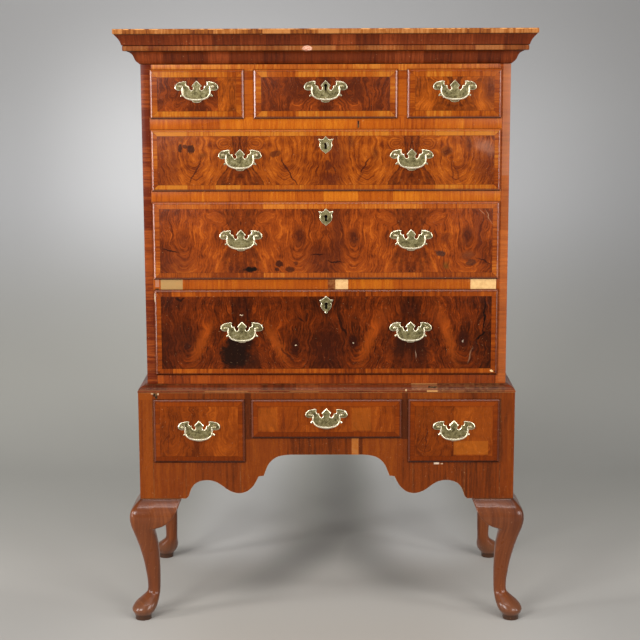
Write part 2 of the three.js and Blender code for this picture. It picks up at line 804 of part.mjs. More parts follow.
const drawers = [
  { name: "short_drawer_left", x: -shortSideX, lip: shortLip, width: shortSideWidth,
    height: shortDrawerHeight, front: 0, handles: [0], rise: shortHandleRise },
  { name: "short_drawer_centre", x: 0, lip: shortLip, width: centreShortWidth,
    height: shortDrawerHeight, front: 0, handles: [0], rise: shortHandleRise, keyed: true },
  { name: "short_drawer_right", x: shortSideX, lip: shortLip, width: shortSideWidth,
    height: shortDrawerHeight, front: 0, handles: [0], rise: shortHandleRise },
  { name: "long_drawer_upper", x: 0, lip: upperLip, width: longWidth, height: upperDrawerHeight,
    front: 0, handles: pair, rise: handleRise, keyed: true, escutcheon: true },
  { name: "long_drawer_middle", x: 0, lip: middleLip, width: longWidth, height: middleDrawerHeight,
    front: 0, handles: pair, rise: handleRise, keyed: true, escutcheon: true },
  { name: "long_drawer_lower", x: 0, lip: lowerLip, width: longWidth, height: lowerDrawerHeight,
    front: 0, handles: pair, rise: handleRise, keyed: true, escutcheon: true },
  { name: "stand_drawer_left", x: -standSideX, lip: standSideLip, width: standSideDrawerWidth,
    height: standSideDrawerHeight, front: standFront, handles: [0], rise: handleRise },
  { name: "stand_drawer_centre", x: 0, lip: standCentreLip, width: standCentreDrawerWidth,
    height: standCentreDrawerHeight, front: standFront, handles: [0], rise: handleRise },
  { name: "stand_drawer_right", x: standSideX, lip: standSideLip, width: standSideDrawerWidth,
    height: standSideDrawerHeight, front: standFront, handles: [0], rise: handleRise },
];

const plainPlate = handlePlate(false);
const keyedPlate = handlePlate(true);
const bailForm = bail();

for (const spec of drawers) {
  const centre = [spec.x, spec.front, spec.lip + spec.height / 2];
  addMesh(`${spec.name}_front`, drawerFront(spec), "figured", centre);
  addMesh(`${spec.name}_box`, drawerBox(spec, caseBackFace), "oak", centre);
  for (const [index, x] of spec.handles.entries()) {
    const suffix = spec.handles.length > 1 ? ["_left", "_right"][index] : "";
    const place = [spec.x + x, spec.front - lipProud, centre[2] + spec.rise];
    const keyed = spec.keyed && !spec.escutcheon;
    addMesh(`${spec.name}_plate${suffix}`, keyed ? keyedPlate : plainPlate, "brass", place);
    addMesh(`${spec.name}_bail${suffix}`, bailForm, "brass", [place[0], place[1] - ballDepth, place[2]]);
  }
}

// The part's origin lies on the floor, under the middle of its bounding box.
const bounds = new THREE.Box3().setFromObject(assembly, true);
assembly.position.y = -(bounds.min.y + bounds.max.y) / 2;
const part = new THREE.Group();
part.add(assembly);

export default part;
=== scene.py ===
import math
import bmesh
import bpy
from mathutils import Matrix, Vector, noise
from mathutils.geometry import delaunay_2d_cdt


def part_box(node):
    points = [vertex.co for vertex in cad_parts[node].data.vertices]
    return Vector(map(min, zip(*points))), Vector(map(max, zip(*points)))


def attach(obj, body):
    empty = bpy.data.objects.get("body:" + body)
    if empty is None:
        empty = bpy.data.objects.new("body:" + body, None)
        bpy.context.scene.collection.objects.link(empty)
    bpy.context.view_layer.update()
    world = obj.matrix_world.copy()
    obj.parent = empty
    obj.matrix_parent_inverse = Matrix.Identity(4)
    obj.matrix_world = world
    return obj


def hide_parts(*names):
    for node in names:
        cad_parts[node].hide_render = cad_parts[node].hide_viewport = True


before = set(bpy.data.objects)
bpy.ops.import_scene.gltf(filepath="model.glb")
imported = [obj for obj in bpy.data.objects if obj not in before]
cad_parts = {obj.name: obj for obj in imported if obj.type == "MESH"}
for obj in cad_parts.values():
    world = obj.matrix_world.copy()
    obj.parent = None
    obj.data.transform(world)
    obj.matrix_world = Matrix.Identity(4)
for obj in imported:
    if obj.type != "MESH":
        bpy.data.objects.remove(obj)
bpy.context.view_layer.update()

# The CAD frame is in metres. Shapes here are laid out in millimetres and scaled once.
mm = 0.001
caseFront, caseBack, caseHalf, caseTop = -229.864, 262.136, 469, 1462.3
standFront, standHalf, standTop, legHeight = -252.864, 492, 617, 331
boardThickness, seam = 22, 0.3


def boxOf(name):
    low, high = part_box(name)
    return low / mm, high / mm


def tone(code):
    parts = [int(code[i:i + 2], 16) / 255 for i in (0, 2, 4)]
    return [c / 12.92 if c <= 0.04045 else ((c + 0.055) / 1.055) ** 2.4 for c in parts] + [1]


# A wood's colours from light to deep, with other settings of its pattern.
def palette(codes, **settings):
    return {**dict(zip(("light", "middle", "dark", "deep"), map(tone, codes.split()))), **settings}


# A value or colour in a node tree. Sums with it lay Math nodes.
class Signal:
    def __init__(self, sketch, socket):
        self.sketch, self.socket = sketch, socket

    def __add__(self, other):
        return self.sketch.math("ADD", self, other)

    def __sub__(self, other):
        return self.sketch.math("SUBTRACT", self, other)

    def __rsub__(self, other):
        return self.sketch.math("SUBTRACT", other, self)

    def __mul__(self, other):
        return self.sketch.math("MULTIPLY", self, other)

    def __truediv__(self, other):
        return self.sketch.math("DIVIDE", self, other)

    def __pow__(self, other):
        return self.sketch.math("POWER", self, other)

    def __gt__(self, other):
        return self.sketch.math("GREATER_THAN", self, other)

    def __lt__(self, other):
        return self.sketch.math("LESS_THAN", self, other)

    def __abs__(self):
        return self.sketch.math("ABSOLUTE", self)

    __radd__, __rmul__ = __add__, __mul__


# Short ways to lay nodes in a tree. Each value is a signal, a number or a colour.
class Sketch:
    def __init__(self, tree):
        self.tree = tree

    def signals(self, node):
        return {key: Signal(self, out) for index, out in enumerate(node.outputs) for key in (index, out.name)}

    def fill(self, node, inputs):
        for key, value in inputs.items() if isinstance(inputs, dict) else enumerate(inputs):
            if isinstance(value, Signal):
                self.tree.links.new(value.socket, node.inputs[key])
            else:
                node.inputs[key].default_value = value

    def add(self, kind, inputs=(), **settings):
        node = self.tree.nodes.new("ShaderNode" + kind)
        for key, value in settings.items():
            setattr(node, key, value)
        self.fill(node, inputs)
        return self.signals(node)

    def math(self, operation, *values, clamp=False):
        return self.add("Math", values, operation=operation, use_clamp=clamp)[0]

    def larger(self, first, second):
        return self.math("MAXIMUM", first, second)

    def far(self, a, b):
        return self.math("SQRT", a * a + b * b)

    def step(self, value, low, high):
        inputs = {"Value": value, "From Min": low, "From Max": high}
        return self.add("MapRange", inputs, interpolation_type="SMOOTHSTEP")["Result"]

    def within(self, value, low, high, blur=0.5):
        return self.step(value, low - blur, low + blur) * self.step(value, high + blur, high - blur)

    def mix(self, factor, first, second):
        return self.add("Mix", {0: factor, 6: first, 7: second}, data_type="RGBA")[2]

    def between(self, factor, first, second):
        return self.add("Mix", {0: factor, 2: first, 3: second}, data_type="FLOAT")[0]

    # A colour that passes to others as the value rises
    def ramp(self, value, colour, *stages):
        for low, high, following in stages:
            colour = self.mix(self.step(value, low, high), colour, following)
        return colour

    # A colour under coats of others, each with its mask
    def coats(self, colour, *masks):
        for mask, code in masks:
            colour = self.mix(mask, colour, tone(code))
        return colour

    def point(self, x=0.0, y=0.0, z=0.0):
        return self.add("CombineXYZ", (x, y, z))[0]

    def parts(self, vector):
        outputs = self.add("SeparateXYZ", (vector,))
        return [outputs[axis] for axis in range(3)]

    # Noise as one value, or as three and that one
    def noise(self, vector, scale=1.0, detail=2.0, roughness=0.5, seed=0.0, parts=False):
        inputs = {"Vector": vector, "W": seed, "Scale": scale, "Detail": detail, "Roughness": roughness}
        outputs = self.add("TexNoise", inputs, noise_dimensions="4D")
        return [*self.parts(outputs["Color"]), outputs[0]] if parts else outputs[0]

    def bump(self, height, distance):
        return self.add("Bump", {"Height": height, "Distance": distance * mm})["Normal"]

    def use(self, group, **values):
        return self.add("Group", values, node_tree=group)


# A node group with number and colour inputs, and what its pattern puts out by name.
def effectGroup(name, pattern, numbers, colours):
    group = bpy.data.node_groups.new(name, "ShaderNodeTree")
    for label, value in {**numbers, **colours}.items():
        kind = "Color" if label in colours else "Float"
        socket = group.interface.new_socket(label, in_out="INPUT", socket_type="NodeSocket" + kind)
        socket.default_value = tone(value) if label in colours else value
    s = Sketch(group)
    given = s.signals(group.nodes.new("NodeGroupInput"))
    outputs = pattern(s, **{label: given[label] for label in (*numbers, *colours)})
    for label in outputs:
        kind = "Color" if label == "Color" else "Float"
        group.interface.new_socket(label, in_out="OUTPUT", socket_type="NodeSocket" + kind)
    s.fill(group.nodes.new("NodeGroupOutput"), outputs)
    return group


# Book-matched figured veneer: the leaves mirror at each handle's line and at the middle.
def figuredVeneer(s, x, z, handleX, eyeU, eyeV, squash, smallU, smallV, smallSize, wander, seed, fanTop,
                  fanWaist, fanWaistV, fanFoot, fanLow, fanHigh, fan, shade, outerShade, contrast,
                  light, middle, dark, deep):
    u = abs(abs(x) - handleX)
    leafSeed = seed + ((x > 0) * 0.16 + (abs(x) > handleX) * 0.1)
    plain = s.point(u, z)
    sway = s.noise(plain, 0.013, 2, 0.5, leafSeed, parts=True)
    ripple = s.noise(plain, 0.055, 2, 0.55, leafSeed, parts=True)
    uw, vw = (value + ((sway[axis] - 0.5) * (wander * 4) + (ripple[axis] - 0.5) * wander)
              for axis, value in enumerate((u, z)))
    # Lines of growth flow round a large eye, and round a small one near the middle
    small = s.far(uw - smallU, vw - smallV)
    near = small / smallSize
    flow = s.between(s.math("EXPONENT", near * near * -1),
                     s.far(uw - eyeU, s.math("MINIMUM", vw - eyeV, 0) * squash), small * 1.6)
    growth = s.noise(s.point(flow * 0.1, vw * 0.011), 1, 3, 0.68, leafSeed)
    streaks = s.noise(s.point(flow * 0.27, vw * 0.02, 4), 1, 3, 0.65, leafSeed)
    lines = s.noise(s.point(flow * 0.62, vw * 0.035, 8), 1, 2, 0.6, leafSeed)
    pores = s.noise(s.point(flow * 2.6, vw * 0.3, 12), 1, 1, 0.5, leafSeed)
    cloud = s.noise(plain, 0.016, 3, 0.55, leafSeed + 7)
    curls = s.noise(s.point(uw, vw), 0.07, 4, 0.7, leafSeed + 3, parts=True)
    depth = growth * 1.05 + streaks + lines * 0.75 + cloud * 0.8 + curls[3] * 0.75
    depth = depth + s.step(abs(u - 90), 40, 130) * outerShade
    depth = (depth - 2.13) * contrast + shade
    colour = s.ramp(depth, light, (0.2, 0.52, middle), (0.48, 0.84, dark))
    colour = s.mix(s.step(depth, 0.84, 1.05) * 0.6, colour, deep)
    # The fan: a dark hourglass with rays, narrowest behind the handle
    rise = vw - fanWaistV
    upper = s.math("DIVIDE", rise, fanHigh - fanWaistV, clamp=True)
    lower = s.math("DIVIDE", rise, fanLow - fanWaistV, clamp=True)
    topEdge = s.between(upper ** 0.8, fanWaist, fanTop)
    edge = s.between(rise > 0, s.between(lower ** 1.15, fanWaist, fanFoot), topEdge)
    ratio = (u + (ripple[2] - 0.5) * 16) / edge
    rays = s.noise(s.point(ratio * 4.6, vw * 0.02, 20), 1, 3, 0.6, leafSeed) + (curls[3] - 0.5) * 0.5
    rayColour = s.ramp(rays, middle, (0.34, 0.5, dark), (0.5, 0.64, deep))
    colour = s.mix(s.step(ratio, 1.06, 0.94) * fan, colour, rayColour)
    rim = s.step(abs(ratio - 1) * edge, 3, 0.6) * (fan * s.step(ripple[0], 0.4, 0.6))
    colour = s.mix(rim * 0.7, colour, deep)
    return {
        "Color": s.mix(s.step(pores, 0.56, 0.72) * 0.3, colour, deep),
        "Height": growth * 0.5 - s.step(pores, 0.55, 0.75) * 0.35,
        "wavyX": x + (ripple[0] - 0.5) * 16, "wavyZ": z + (ripple[1] - 0.5) * 16,
        "ragged": (curls[0] - 0.5 + (streaks - 0.5)) * 1.4,
    }


# Veneer laid across a band in short pieces that differ in tone.
def crossBanding(s, along, across, pieceLength, seed, shade, contrast, light, middle, dark):
    pieces, gaps = (
        s.add("TexVoronoi", {"W": along / pieceLength + seed, "Scale": 1.0, "Randomness": 1.0},
              voronoi_dimensions="1D", feature=feature) for feature in ("F1", "DISTANCE_TO_EDGE"))
    pieceTone = s.parts(pieces["Color"])[0]
    grain = s.noise(s.point(along, across * 0.05, pieceTone), 0.16, 3, 0.6, seed)
    fine = s.noise(s.point(along, across * 0.09, 5), 0.75, 2, 0.6, seed)
    pores = s.noise(s.point(along, across * 0.16, 9), 2.2, 1, 0.5, seed)
    depth = (pieceTone - 0.5) * 0.55 + (grain - 0.5) * 1.5 + (fine - 0.5) * 0.9
    colour = s.ramp(depth * contrast + shade, light, (0.15, 0.55, middle), (0.52, 0.98, dark))
    joint = s.step(gaps["Distance"] * pieceLength, 0.55, 0.15) * 0.45
    colour = s.coats(colour, (joint, "3A1608"), (s.step(pores, 0.55, 0.72) * 0.28, "4A1E0A"))
    return {"Color": colour, "Height": fine * 0.4 - joint * 0.8}


# Plain or solid wood with its grain along one way.
def plainWood(s, along, across, depth, seed, shade, ringWidth, bend, light, middle, dark):
    slow = s.point(along * 0.12, across, depth)
    sway = s.noise(slow, 0.02, 2, 0.5, seed, parts=True)[0]
    ring = (across + (sway - 0.5) * (bend * 46) + depth * 0.6) / ringWidth
    growth = s.noise(s.point(ring * 0.55, along * 0.004), 1, 3, 0.6, seed)
    streaks = s.noise(s.point(ring * 2.4, along * 0.009, 3), 1, 3, 0.6, seed)
    pores = s.noise(s.point(ring * 11, along * 0.07, 6), 1, 2, 0.5, seed)
    cloud = s.noise(slow, 0.011, 2, 0.5, seed + 5)
    colour = s.ramp(growth * 0.9 + streaks * 0.7 + cloud * 0.8 - 1.2 + shade, light,
                    (0.2, 0.52, middle), (0.5, 0.85, dark))
    return {
        "Color": s.mix(s.step(pores, 0.56, 0.7) * 0.3, colour, dark),
        "Height": streaks * 0.5 - s.step(pores, 0.55, 0.72) * 0.5,
    }


# A dark knot or stain with a soft ragged rim, from coordinates that already wander.
def darkKnot(s, x, z, ragged, knotX, knotZ, halfWidth, halfHeight, tilt, soft, rings):
    dx, dz = x - knotX, z - knotZ
    cosine, sine = s.math("COSINE", tilt), s.math("SINE", tilt)
    far = s.far((dx * cosine + dz * sine) / halfWidth, (dz * cosine - dx * sine) / halfHeight) + ragged
    paler = (s.math("COSINE", far * 8) * 0.35 + 0.35) * rings
    return {"Mask": s.step(far, 1 + soft, 1 - soft) * (1 - paler)}


# Old hand polish: roughness that varies, faint ripples and small dents.
def oldPolish(s, x, y, z, base, spread, seed):
    place = s.point(x, y, z)
    broad = s.noise(place, 0.012, 3, 0.6, seed)
    ripples = s.noise(place, 0.045, 2, 0.5, seed)
    dents = s.noise(place, 0.22, 2, 0.6, seed)
    specks = s.noise(place, 0.35, 1, 0.5, seed + 4)
    return {
        "Roughness": s.step(dents, 0.6, 0.75) * 0.08 + ((broad - 0.5) * spread + base),
        "Height": ripples * 1.4 - s.step(dents, 0.62, 0.74) * 0.35, "Dust": s.step(specks, 0.73, 0.77),
    }


# Brass that is bright where hands rub it and olive in between.
def agedBrass(s, x, y, z, tarnish, seed, bright, olive, brown):
    place = s.point(x, y, z)
    cloud = s.noise(place, 0.11, 3, 0.65, seed)
    spots = s.noise(place, 0.45, 3, 0.65, seed)
    rubbing = s.noise(s.point((x + z) * 0.05, (z - x) * 0.6), 1, 3, 0.6, seed)
    depth = (cloud - 0.5) * 1.7 + tarnish + (spots - 0.5) * 0.9 + (rubbing - 0.5)
    return {
        "Color": s.ramp(depth, bright, (0.1, 0.72, olive), (0.65, 1.25, brown)),
        "Roughness": s.step(depth, 0.1, 0.9) * 0.2 + 0.24, "Height": spots * 0.4,
    }


spot = {"x": 0, "y": 0, "z": 0, "seed": 0}
figureGroup = effectGroup("bookMatchedFigure", figuredVeneer, {
    "x": 0, "z": 0, "handleX": 219, "eyeU": 150, "eyeV": 0, "squash": 0.55, "smallU": 45, "smallV": 40,
    "smallSize": 22, "wander": 11, "seed": 0, "fanTop": 22, "fanWaist": 12, "fanWaistV": 12, "fanFoot": 55,
    "fanLow": -70, "fanHigh": 70, "fan": 0.85, "shade": 0.5, "outerShade": 0.3, "contrast": 1,
}, {"light": "D07A28", "middle": "A9541A", "dark": "6E2C0D", "deep": "35120A"})
bandGroup = effectGroup(
    "crossBanding", crossBanding,
    {"along": 0, "across": 0, "pieceLength": 40, "seed": 0, "shade": 0.5, "contrast": 1},
    {"light": "DE9438", "middle": "BC6320", "dark": "7E3410"})
woodGroup = effectGroup(
    "plainWood", plainWood,
    {"along": 0, "across": 0, "depth": 0, "seed": 0, "shade": 0.5, "ringWidth": 6, "bend": 1},
    {"light": "A8602A", "middle": "7E4018", "dark": "4A210C"})
knotGroup = effectGroup("darkKnot", darkKnot, {
    "x": 0, "z": 0, "ragged": 0, "knotX": 0, "knotZ": 0, "halfWidth": 10, "halfHeight": 10, "tilt": 0,
    "soft": 0.3, "rings": 0,
}, {})
polishGroup = effectGroup("oldPolish", oldPolish, {**spot, "base": 0.3, "spread": 0.16}, {})
brassGroup = effectGroup(
    "agedBrass", agedBrass, {**spot, "tarnish": 0.5},
    {"bright": "F2E8CA", "olive": "968C62", "brown": "483F26"})
print("node groups made")


def newMaterial(name):
    material = bpy.data.materials.new(name)
    material.use_nodes = True
    return material, Sketch(material.node_tree), material.node_tree.nodes["Principled BSDF"]


# The surface's own place in millimetres, counted from a centre in the part's frame.
def placeFrom(s, centre=(0, 0, 0)):
    inputs = {0: s.add("TexCoord")["Object"], 1: [c * mm for c in centre]}
    moved = s.add("VectorMath", inputs, operation="SUBTRACT")[0]
    return s.parts(s.add("VectorMath", {0: moved, "Scale": 1 / mm}, operation="SCALE")[0])


woodPolish = {"base": 0.27, "spread": 0.16}
grainDepth, brassDepth = 0.12, 0.15


def finishWood(s, shader, place, colour, height, polish, shine=0.17):
    worn = s.use(polishGroup, **dict(zip("xyz", place)), **polish)
    s.fill(shader, {
        "Base Color": s.coats(colour, (worn["Dust"] * 0.35, "D8A878")), "Roughness": worn["Roughness"],
        "Specular IOR Level": shine, "Normal": s.bump(worn["Height"] * 0.9 + height, grainDepth),
    })


def boxMask(s, place, x0, x1, z0, z1):
    return s.within(place[0], x0, x1) * s.within(place[2], z0, z1)


# Marks: x, z, half width, half height, tilt, strength, colour, and how much they are ringed.
def knotted(s, colour, marks, x, z, ragged, softness=None):
    for knotX, knotZ, halfWidth, halfHeight, tilt, strength, code, *rings in marks:
        mask = s.use(knotGroup, x=x, z=z, ragged=ragged, knotX=knotX, knotZ=knotZ, halfWidth=halfWidth,
                     halfHeight=halfHeight, tilt=math.radians(tilt), rings=rings[0] if rings else 0,
                     soft=softness or (0.2 if strength >= 0.7 else 0.8))["Mask"]
        colour = s.coats(colour, (mask * strength, code))
    return colour


lipWidth = 6


# The front of a drawer: figured field, mitred cross-banding and a red-brown lip.
def frontMaterial(name, centre, size, look):
    material, s, shader = newMaterial(name + "_veneer")
    x, y, z = place = placeFrom(s, centre)
    figure = s.use(figureGroup, x=x, z=z, **look["figure"])
    colour = knotted(s, figure["Color"], look["knots"], figure["wavyX"], figure["wavyZ"], figure["ragged"])
    if "leaf" in look:
        leafStart, leafFigure = look["leaf"]
        colour = s.mix(x > leafStart, colour, s.use(figureGroup, x=x, z=z, **leafFigure)["Color"])
    for *sides, code, strength in look.get("patches", ()):
        colour = s.coats(colour, (boxMask(s, place, *sides) * strength, code))
    edgeX, edgeZ = size[0] / 2 - abs(x), size[1] / 2 - abs(z)
    edge = s.math("MINIMUM", edgeX, edgeZ)
    upright = edgeX < edgeZ
    level = 1 - upright
    top, low, side = look["bandShades"]
    bandShade = s.between(upright, s.between(z > 0, low, top), side) + look["band"]["shade"]
    band = s.use(bandGroup, **{
        **look["band"], "along": s.between(upright, x, z + 300), "across": edge, "shade": bandShade,
    })
    inner = look["inner"]
    inField = s.step(edge, inner - 0.2, inner + 0.2)
    # Dark lines: joints at the banding's inner edge and at its mitres, and painted shade in the quirk behind
    # the lip
    line = s.step(abs(edge - inner), 0.8, 0.3)
    mitre = s.step(abs(edgeX - edgeZ), 0.7, 0.2) * (edge < inner)
    quirkShade = s.step(abs(edge - lipWidth), 1.0, 0.3)
    seamsAndQuirkShade = s.larger(s.larger(line * 0.45, mitre * 0.45), quirkShade * 0.4)
    onLip = s.step(edge, lipWidth, lipWidth - 0.6)
    # Painted shade round the lip's outer edge: a thin dark line all round, wider and darker along the bottom
    # where the lip overhangs the rail
    under = (z < 0) * level
    paintedEdgeShade = s.step(edge, s.between(under, 1.8, 5.6), s.between(under, 0.9, 3.2)) * s.between(under, 0.55, 0.8)
    colour = s.mix(inField, band["Color"], colour)
    colour = s.coats(colour, (onLip * 0.6, look["lip"]), (paintedEdgeShade, "220C05"), (seamsAndQuirkShade, "321207"))
    colour = knotted(s, colour, look.get("chips", ()), x, z, figure["ragged"], 0.15)
    height = s.between(inField, band["Height"], figure["Height"]) - seamsAndQuirkShade * 0.8
    polish = {**woodPolish, "seed": look["figure"]["seed"]}
    finishWood(s, shader, place, colour, height, polish, look.get("shine", 0.17))
    lipCoat = s.between((z > 0) * level, look.get("lipCoat", 0.9), look["topCoat"])
    s.fill(shader, {"Coat Weight": onLip * lipCoat, "Coat Roughness": 0.11})
    return material


# Cross-banding by a layout, with marks in boxes of x and z: filler, stains and chips, and on some parts
# painted sheen and painted shade.
def bandMaterial(name, layout, band, polish=woodPolish, marks=()):
    material, s, shader = newMaterial(name)
    place = placeFrom(s)
    along, across, shade = layout(s, *place)
    strip = s.use(bandGroup, along=along, across=across, shade=shade, **band)
    colour, height = strip["Color"], strip["Height"]
    scuff = s.step(s.noise(s.point(*place), 0.12, 3, 0.6, 2), 0.35, 0.7)
    for *sides, code, strength in marks:
        mask = boxMask(s, place, *sides) * strength
        colour = s.mix(mask, colour, s.mix(0.6, s.mix(scuff, tone(code), tone("A87A48")), tone(code)))
        height = height - mask * 2.5
    finishWood(s, shader, place, colour, height, polish)
    return material


# Plain wood along the first of three axes, with tones and painted light in bands of height, and painted shade
# on the knee.
def woodMaterial(name, axes, look, polish=woodPolish, coat=0.0, tonesAndPaintedLight=(), paintedKneeShade=None):
    material, s, shader = newMaterial(name)
    place = placeFrom(s)
    along, across, depth = (place["xyz".index(axis)] for axis in axes)
    wood = s.use(woodGroup, along=along, across=across, depth=depth, **look)
    colour = wood["Color"]
    for fadeStart, full, code, strength in tonesAndPaintedLight:
        colour = s.coats(colour, (s.step(place[2], fadeStart, full) * strength, code))
    if paintedKneeShade:
        # Painted shade on the knee, stronger on the right legs
        strength = s.between(s.step(place[0], -10, 10), 0.12, 0.34)
        colour = s.coats(colour, (s.step(place[2], 215, 290) * strength, paintedKneeShade))
    finishWood(s, shader, place, colour, wood["Height"], polish)
    s.fill(shader, {"Coat Weight": coat, "Coat Roughness": 0.17})
    return material


def brassMaterial(name, tarnish, seed, roughness):
    material, s, shader = newMaterial(name)
    metal = s.use(brassGroup, **dict(zip("xyz", placeFrom(s))), tarnish=tarnish, seed=seed)
    s.fill(shader, {
        "Base Color": metal["Color"], "Roughness": metal["Roughness"] + roughness, "Metallic": 1.0,
        "Normal": s.bump(metal["Height"], brassDepth),
    })
    return material


# Meshes, laid out in millimetres
def reworked(mesh, action, source=None):
    work = bmesh.new()
    work.from_mesh(source or mesh)
    action(work)
    work.to_mesh(mesh)
    work.free()
    return mesh


def orient(work):
    bmesh.ops.recalc_face_normals(work, faces=work.faces)


def meshFrom(name, points, faces, marks):
    mesh = bpy.data.meshes.new(name)
    mesh.from_pydata([Vector(point) * mm for point in points], [], faces)
    for face, index in zip(mesh.polygons, marks):
        face.material_index = index
    return reworked(mesh, orient)


# Rings of as many points each, skinned, with flat ends; the first end may have its own mark.
def loftMesh(name, rings, startMark=0):
    count = len(rings[0])
    points = [point for ring in rings for point in ring]
    faces = [(ring + side, ring + (side + 1) % count, ring + count + (side + 1) % count, ring + count + side)
             for ring in range(0, len(points) - count, count) for side in range(count)]
    marks = [startMark] * count + [0] * (len(faces) - count) + [startMark, 0]
    faces += [tuple(range(count)), tuple(range(len(points) - count, len(points)))]
    return meshFrom(name, points, faces, marks)


def joined(name, meshes):
    work = bmesh.new()
    for mesh in meshes:
        work.from_mesh(mesh)
        bpy.data.meshes.remove(mesh)
    whole = bpy.data.meshes.new(name)
    work.to_mesh(whole)
    work.free()
    return whole


def bevelled(work, width, angle=25, segments=2):
    edges = [e for e in work.edges if len(e.link_faces) == 2 and e.calc_face_angle(0) > math.radians(angle)]
    bmesh.ops.bevel(work, geom=edges, offset=width * mm, segments=segments, profile=0.6,
                    affect="EDGES", clamp_overlap=True)


def boardMesh(name, low, high, width=0.8):
    def shape(work):
        bmesh.ops.create_cube(work, size=1)
        for vertex in work.verts:
            vertex.co = [(a + (b - a) * (share + 0.5)) * mm for a, b, share in zip(low, high, vertex.co)]
        bevelled(work, width)

    return reworked(bpy.data.meshes.new(name), shape)


def placed(name, data):
    thing = bpy.data.objects.new(name, data)
    bpy.context.scene.collection.objects.link(thing)
    return thing


def addPiece(name, mesh, materials, replaced=(), sharp=32, body="carcase"):
    for material in materials:
        mesh.materials.append(material)
    mesh.shade_smooth()
    mesh.set_sharp_from_angle(angle=math.radians(sharp))
    piece = placed(name, mesh)
    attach(piece, body)
    if replaced:
        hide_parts(*replaced)


# A copy of a CAD board with softened arrises. Faces that look forward take the second material.
def softened(name, materials, width=0.7):
    def soften(work):
        bmesh.ops.remove_doubles(work, verts=work.verts, dist=2e-6)
        bmesh.ops.dissolve_limit(work, angle_limit=math.radians(1), verts=work.verts, edges=work.edges)
        bevelled(work, width)
        for face in work.faces:
            face.material_index = 1 if len(materials) > 1 and face.normal.y < -0.6 else 0

    mesh = reworked(bpy.data.meshes.new(name + "_board"), soften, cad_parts[name].data)
    addPiece(name + "_board", mesh, materials, (name,))


# A mesh after modifiers, each given as its kind and settings
def modified(mesh, *modifiers):
    holder = placed("rough", mesh)
    for kind, settings in modifiers:
        modifier = holder.modifiers.new("step", kind)
        for key, value in settings.items():
            setattr(modifier, key, value)
    bpy.context.view_layer.update()
    result = bpy.data.meshes.new_from_object(holder.evaluated_get(bpy.context.evaluated_depsgraph_get()))
    bpy.data.objects.remove(holder)
    return result


def cutBy(mesh, tool, operation="DIFFERENCE"):
    cutter = placed("cutter", tool)
    result = modified(mesh, ("BOOLEAN", {"operation": operation, "solver": "EXACT", "object": cutter}))
    bpy.data.objects.remove(cutter)
    return result


# Points on a smooth curve through others, without the last
def smoothPath(run, steps):
    path = []
    for i in range(len(run) - 1):
        before, a, b, after = run[max(i - 1, 0)], run[i], run[i + 1], run[min(i + 2, len(run) - 1)]
        for step in range(steps):
            t = step / steps
            path.append(0.5 * (2 * a + (b - before) * t + (2 * before - 5 * a + 4 * b - after) * t ** 2
                               + (3 * a - before - 3 * b + after) * t ** 3))
    return path


# A closed outline from its right half: smooth, but for points marked as corners.
def smoothOutline(half):
    points = half + [(-x, z, sharp) for x, z, sharp in reversed(half[1:-1])]
    corners = [i for i, point in enumerate(points) if point[2]]
    outline = []
    for start, end in zip(corners, corners[1:] + [corners[0] + len(points)]):
        run = [Vector(points[i % len(points)][:2]) for i in range(start, end + 1)]
        outline += smoothPath(run, 5) if len(run) > 2 else run[:1]
    return outline


# The outline moved inwards, with long corners held back
def movedIn(outline, distance):
    area = sum(a[0] * b[1] - b[0] * a[1] for a, b in zip(outline, outline[1:] + outline[:1]))
    moved = []
    for i, corner in enumerate(outline):
        before = (corner - outline[i - 1]).normalized()
        after = (outline[(i + 1) % len(outline)] - corner).normalized()
        normal = Vector((-before.y - after.y, before.x + after.x)) * math.copysign(1, area)
        moved.append(corner + normal.normalized() * distance / max(normal.length / 2, 0.55))
    return moved


def encloses(loop, point):
    crossings = 0
    for a, b in zip(loop, loop[1:] + loop[:1]):
        if (a.y > point.y) != (b.y > point.y) and point.x < a.x + (b.x - a.x) * (point.y - a.y) / (b.y - a.y):
            crossings += 1
    return crossings % 2 == 1


# A flat plate in the XZ plane with a filed slope round its edge, facing -Y, and any holes.
def chamferedPlate(name, outline, centre, back, thickness, slope, drop, holes=()):
    outline, *holes = [[Vector(point) for point in loop] for loop in (outline, *holes)]
    points, faces, marks = [], [], []

    def place(loop, y):
        start = len(points)
        points.extend((centre[0] + x, y, centre[1] + z) for x, z in loop)
        return range(start, start + len(loop))

    def wall(loop, y, following, farther):
        first, second = place(loop, y), place(following, farther)
        for i in range(len(first)):
            beside = (i + 1) % len(first)
            faces.append((first[i], first[beside], second[beside], second[i]))
            marks.append(1)

    def fill(loops, y, mark):
        flat, edges = [], []
        for loop in loops:
            edges += [(len(flat) + i, len(flat) + (i + 1) % len(loop)) for i in range(len(loop))]
            flat += loop
        spots, _, triangles = delaunay_2d_cdt(flat, edges, [], 1, 1e-4)[:3]
        ids = place(spots, y)
        for triangle in triangles:
            middle = sum((spots[i] for i in triangle), Vector((0, 0))) / 3
            if not any(encloses(hole, middle) for hole in loops[1:]):
                faces.append(tuple(ids[i] for i in triangle))
                marks.append(mark)

    def close(work):
        bmesh.ops.remove_doubles(work, verts=work.verts, dist=1e-6)
        orient(work)

    front, shoulder = back - thickness, back - thickness + drop
    inner = movedIn(outline, slope)
    fill([inner] + holes, front, 0)
    fill([outline] + holes, back, 1)
    wall(inner, front, outline, shoulder)
    wall(outline, shoulder, outline, back)
    for hole in holes:
        wall(hole, front, hole, back)
    return reworked(meshFrom(name, points, faces, marks), close)


# A profile of (radius, depth) turned round an axis along Y.
def turnedMesh(name, profile, centre, sides=20):
    angles = [2 * math.pi * side / sides for side in range(sides)]
    return loftMesh(name, [[
        (centre[0] + radius * math.cos(angle), centre[1] + depth, centre[2] + radius * math.sin(angle))
        for angle in angles] for radius, depth in profile])


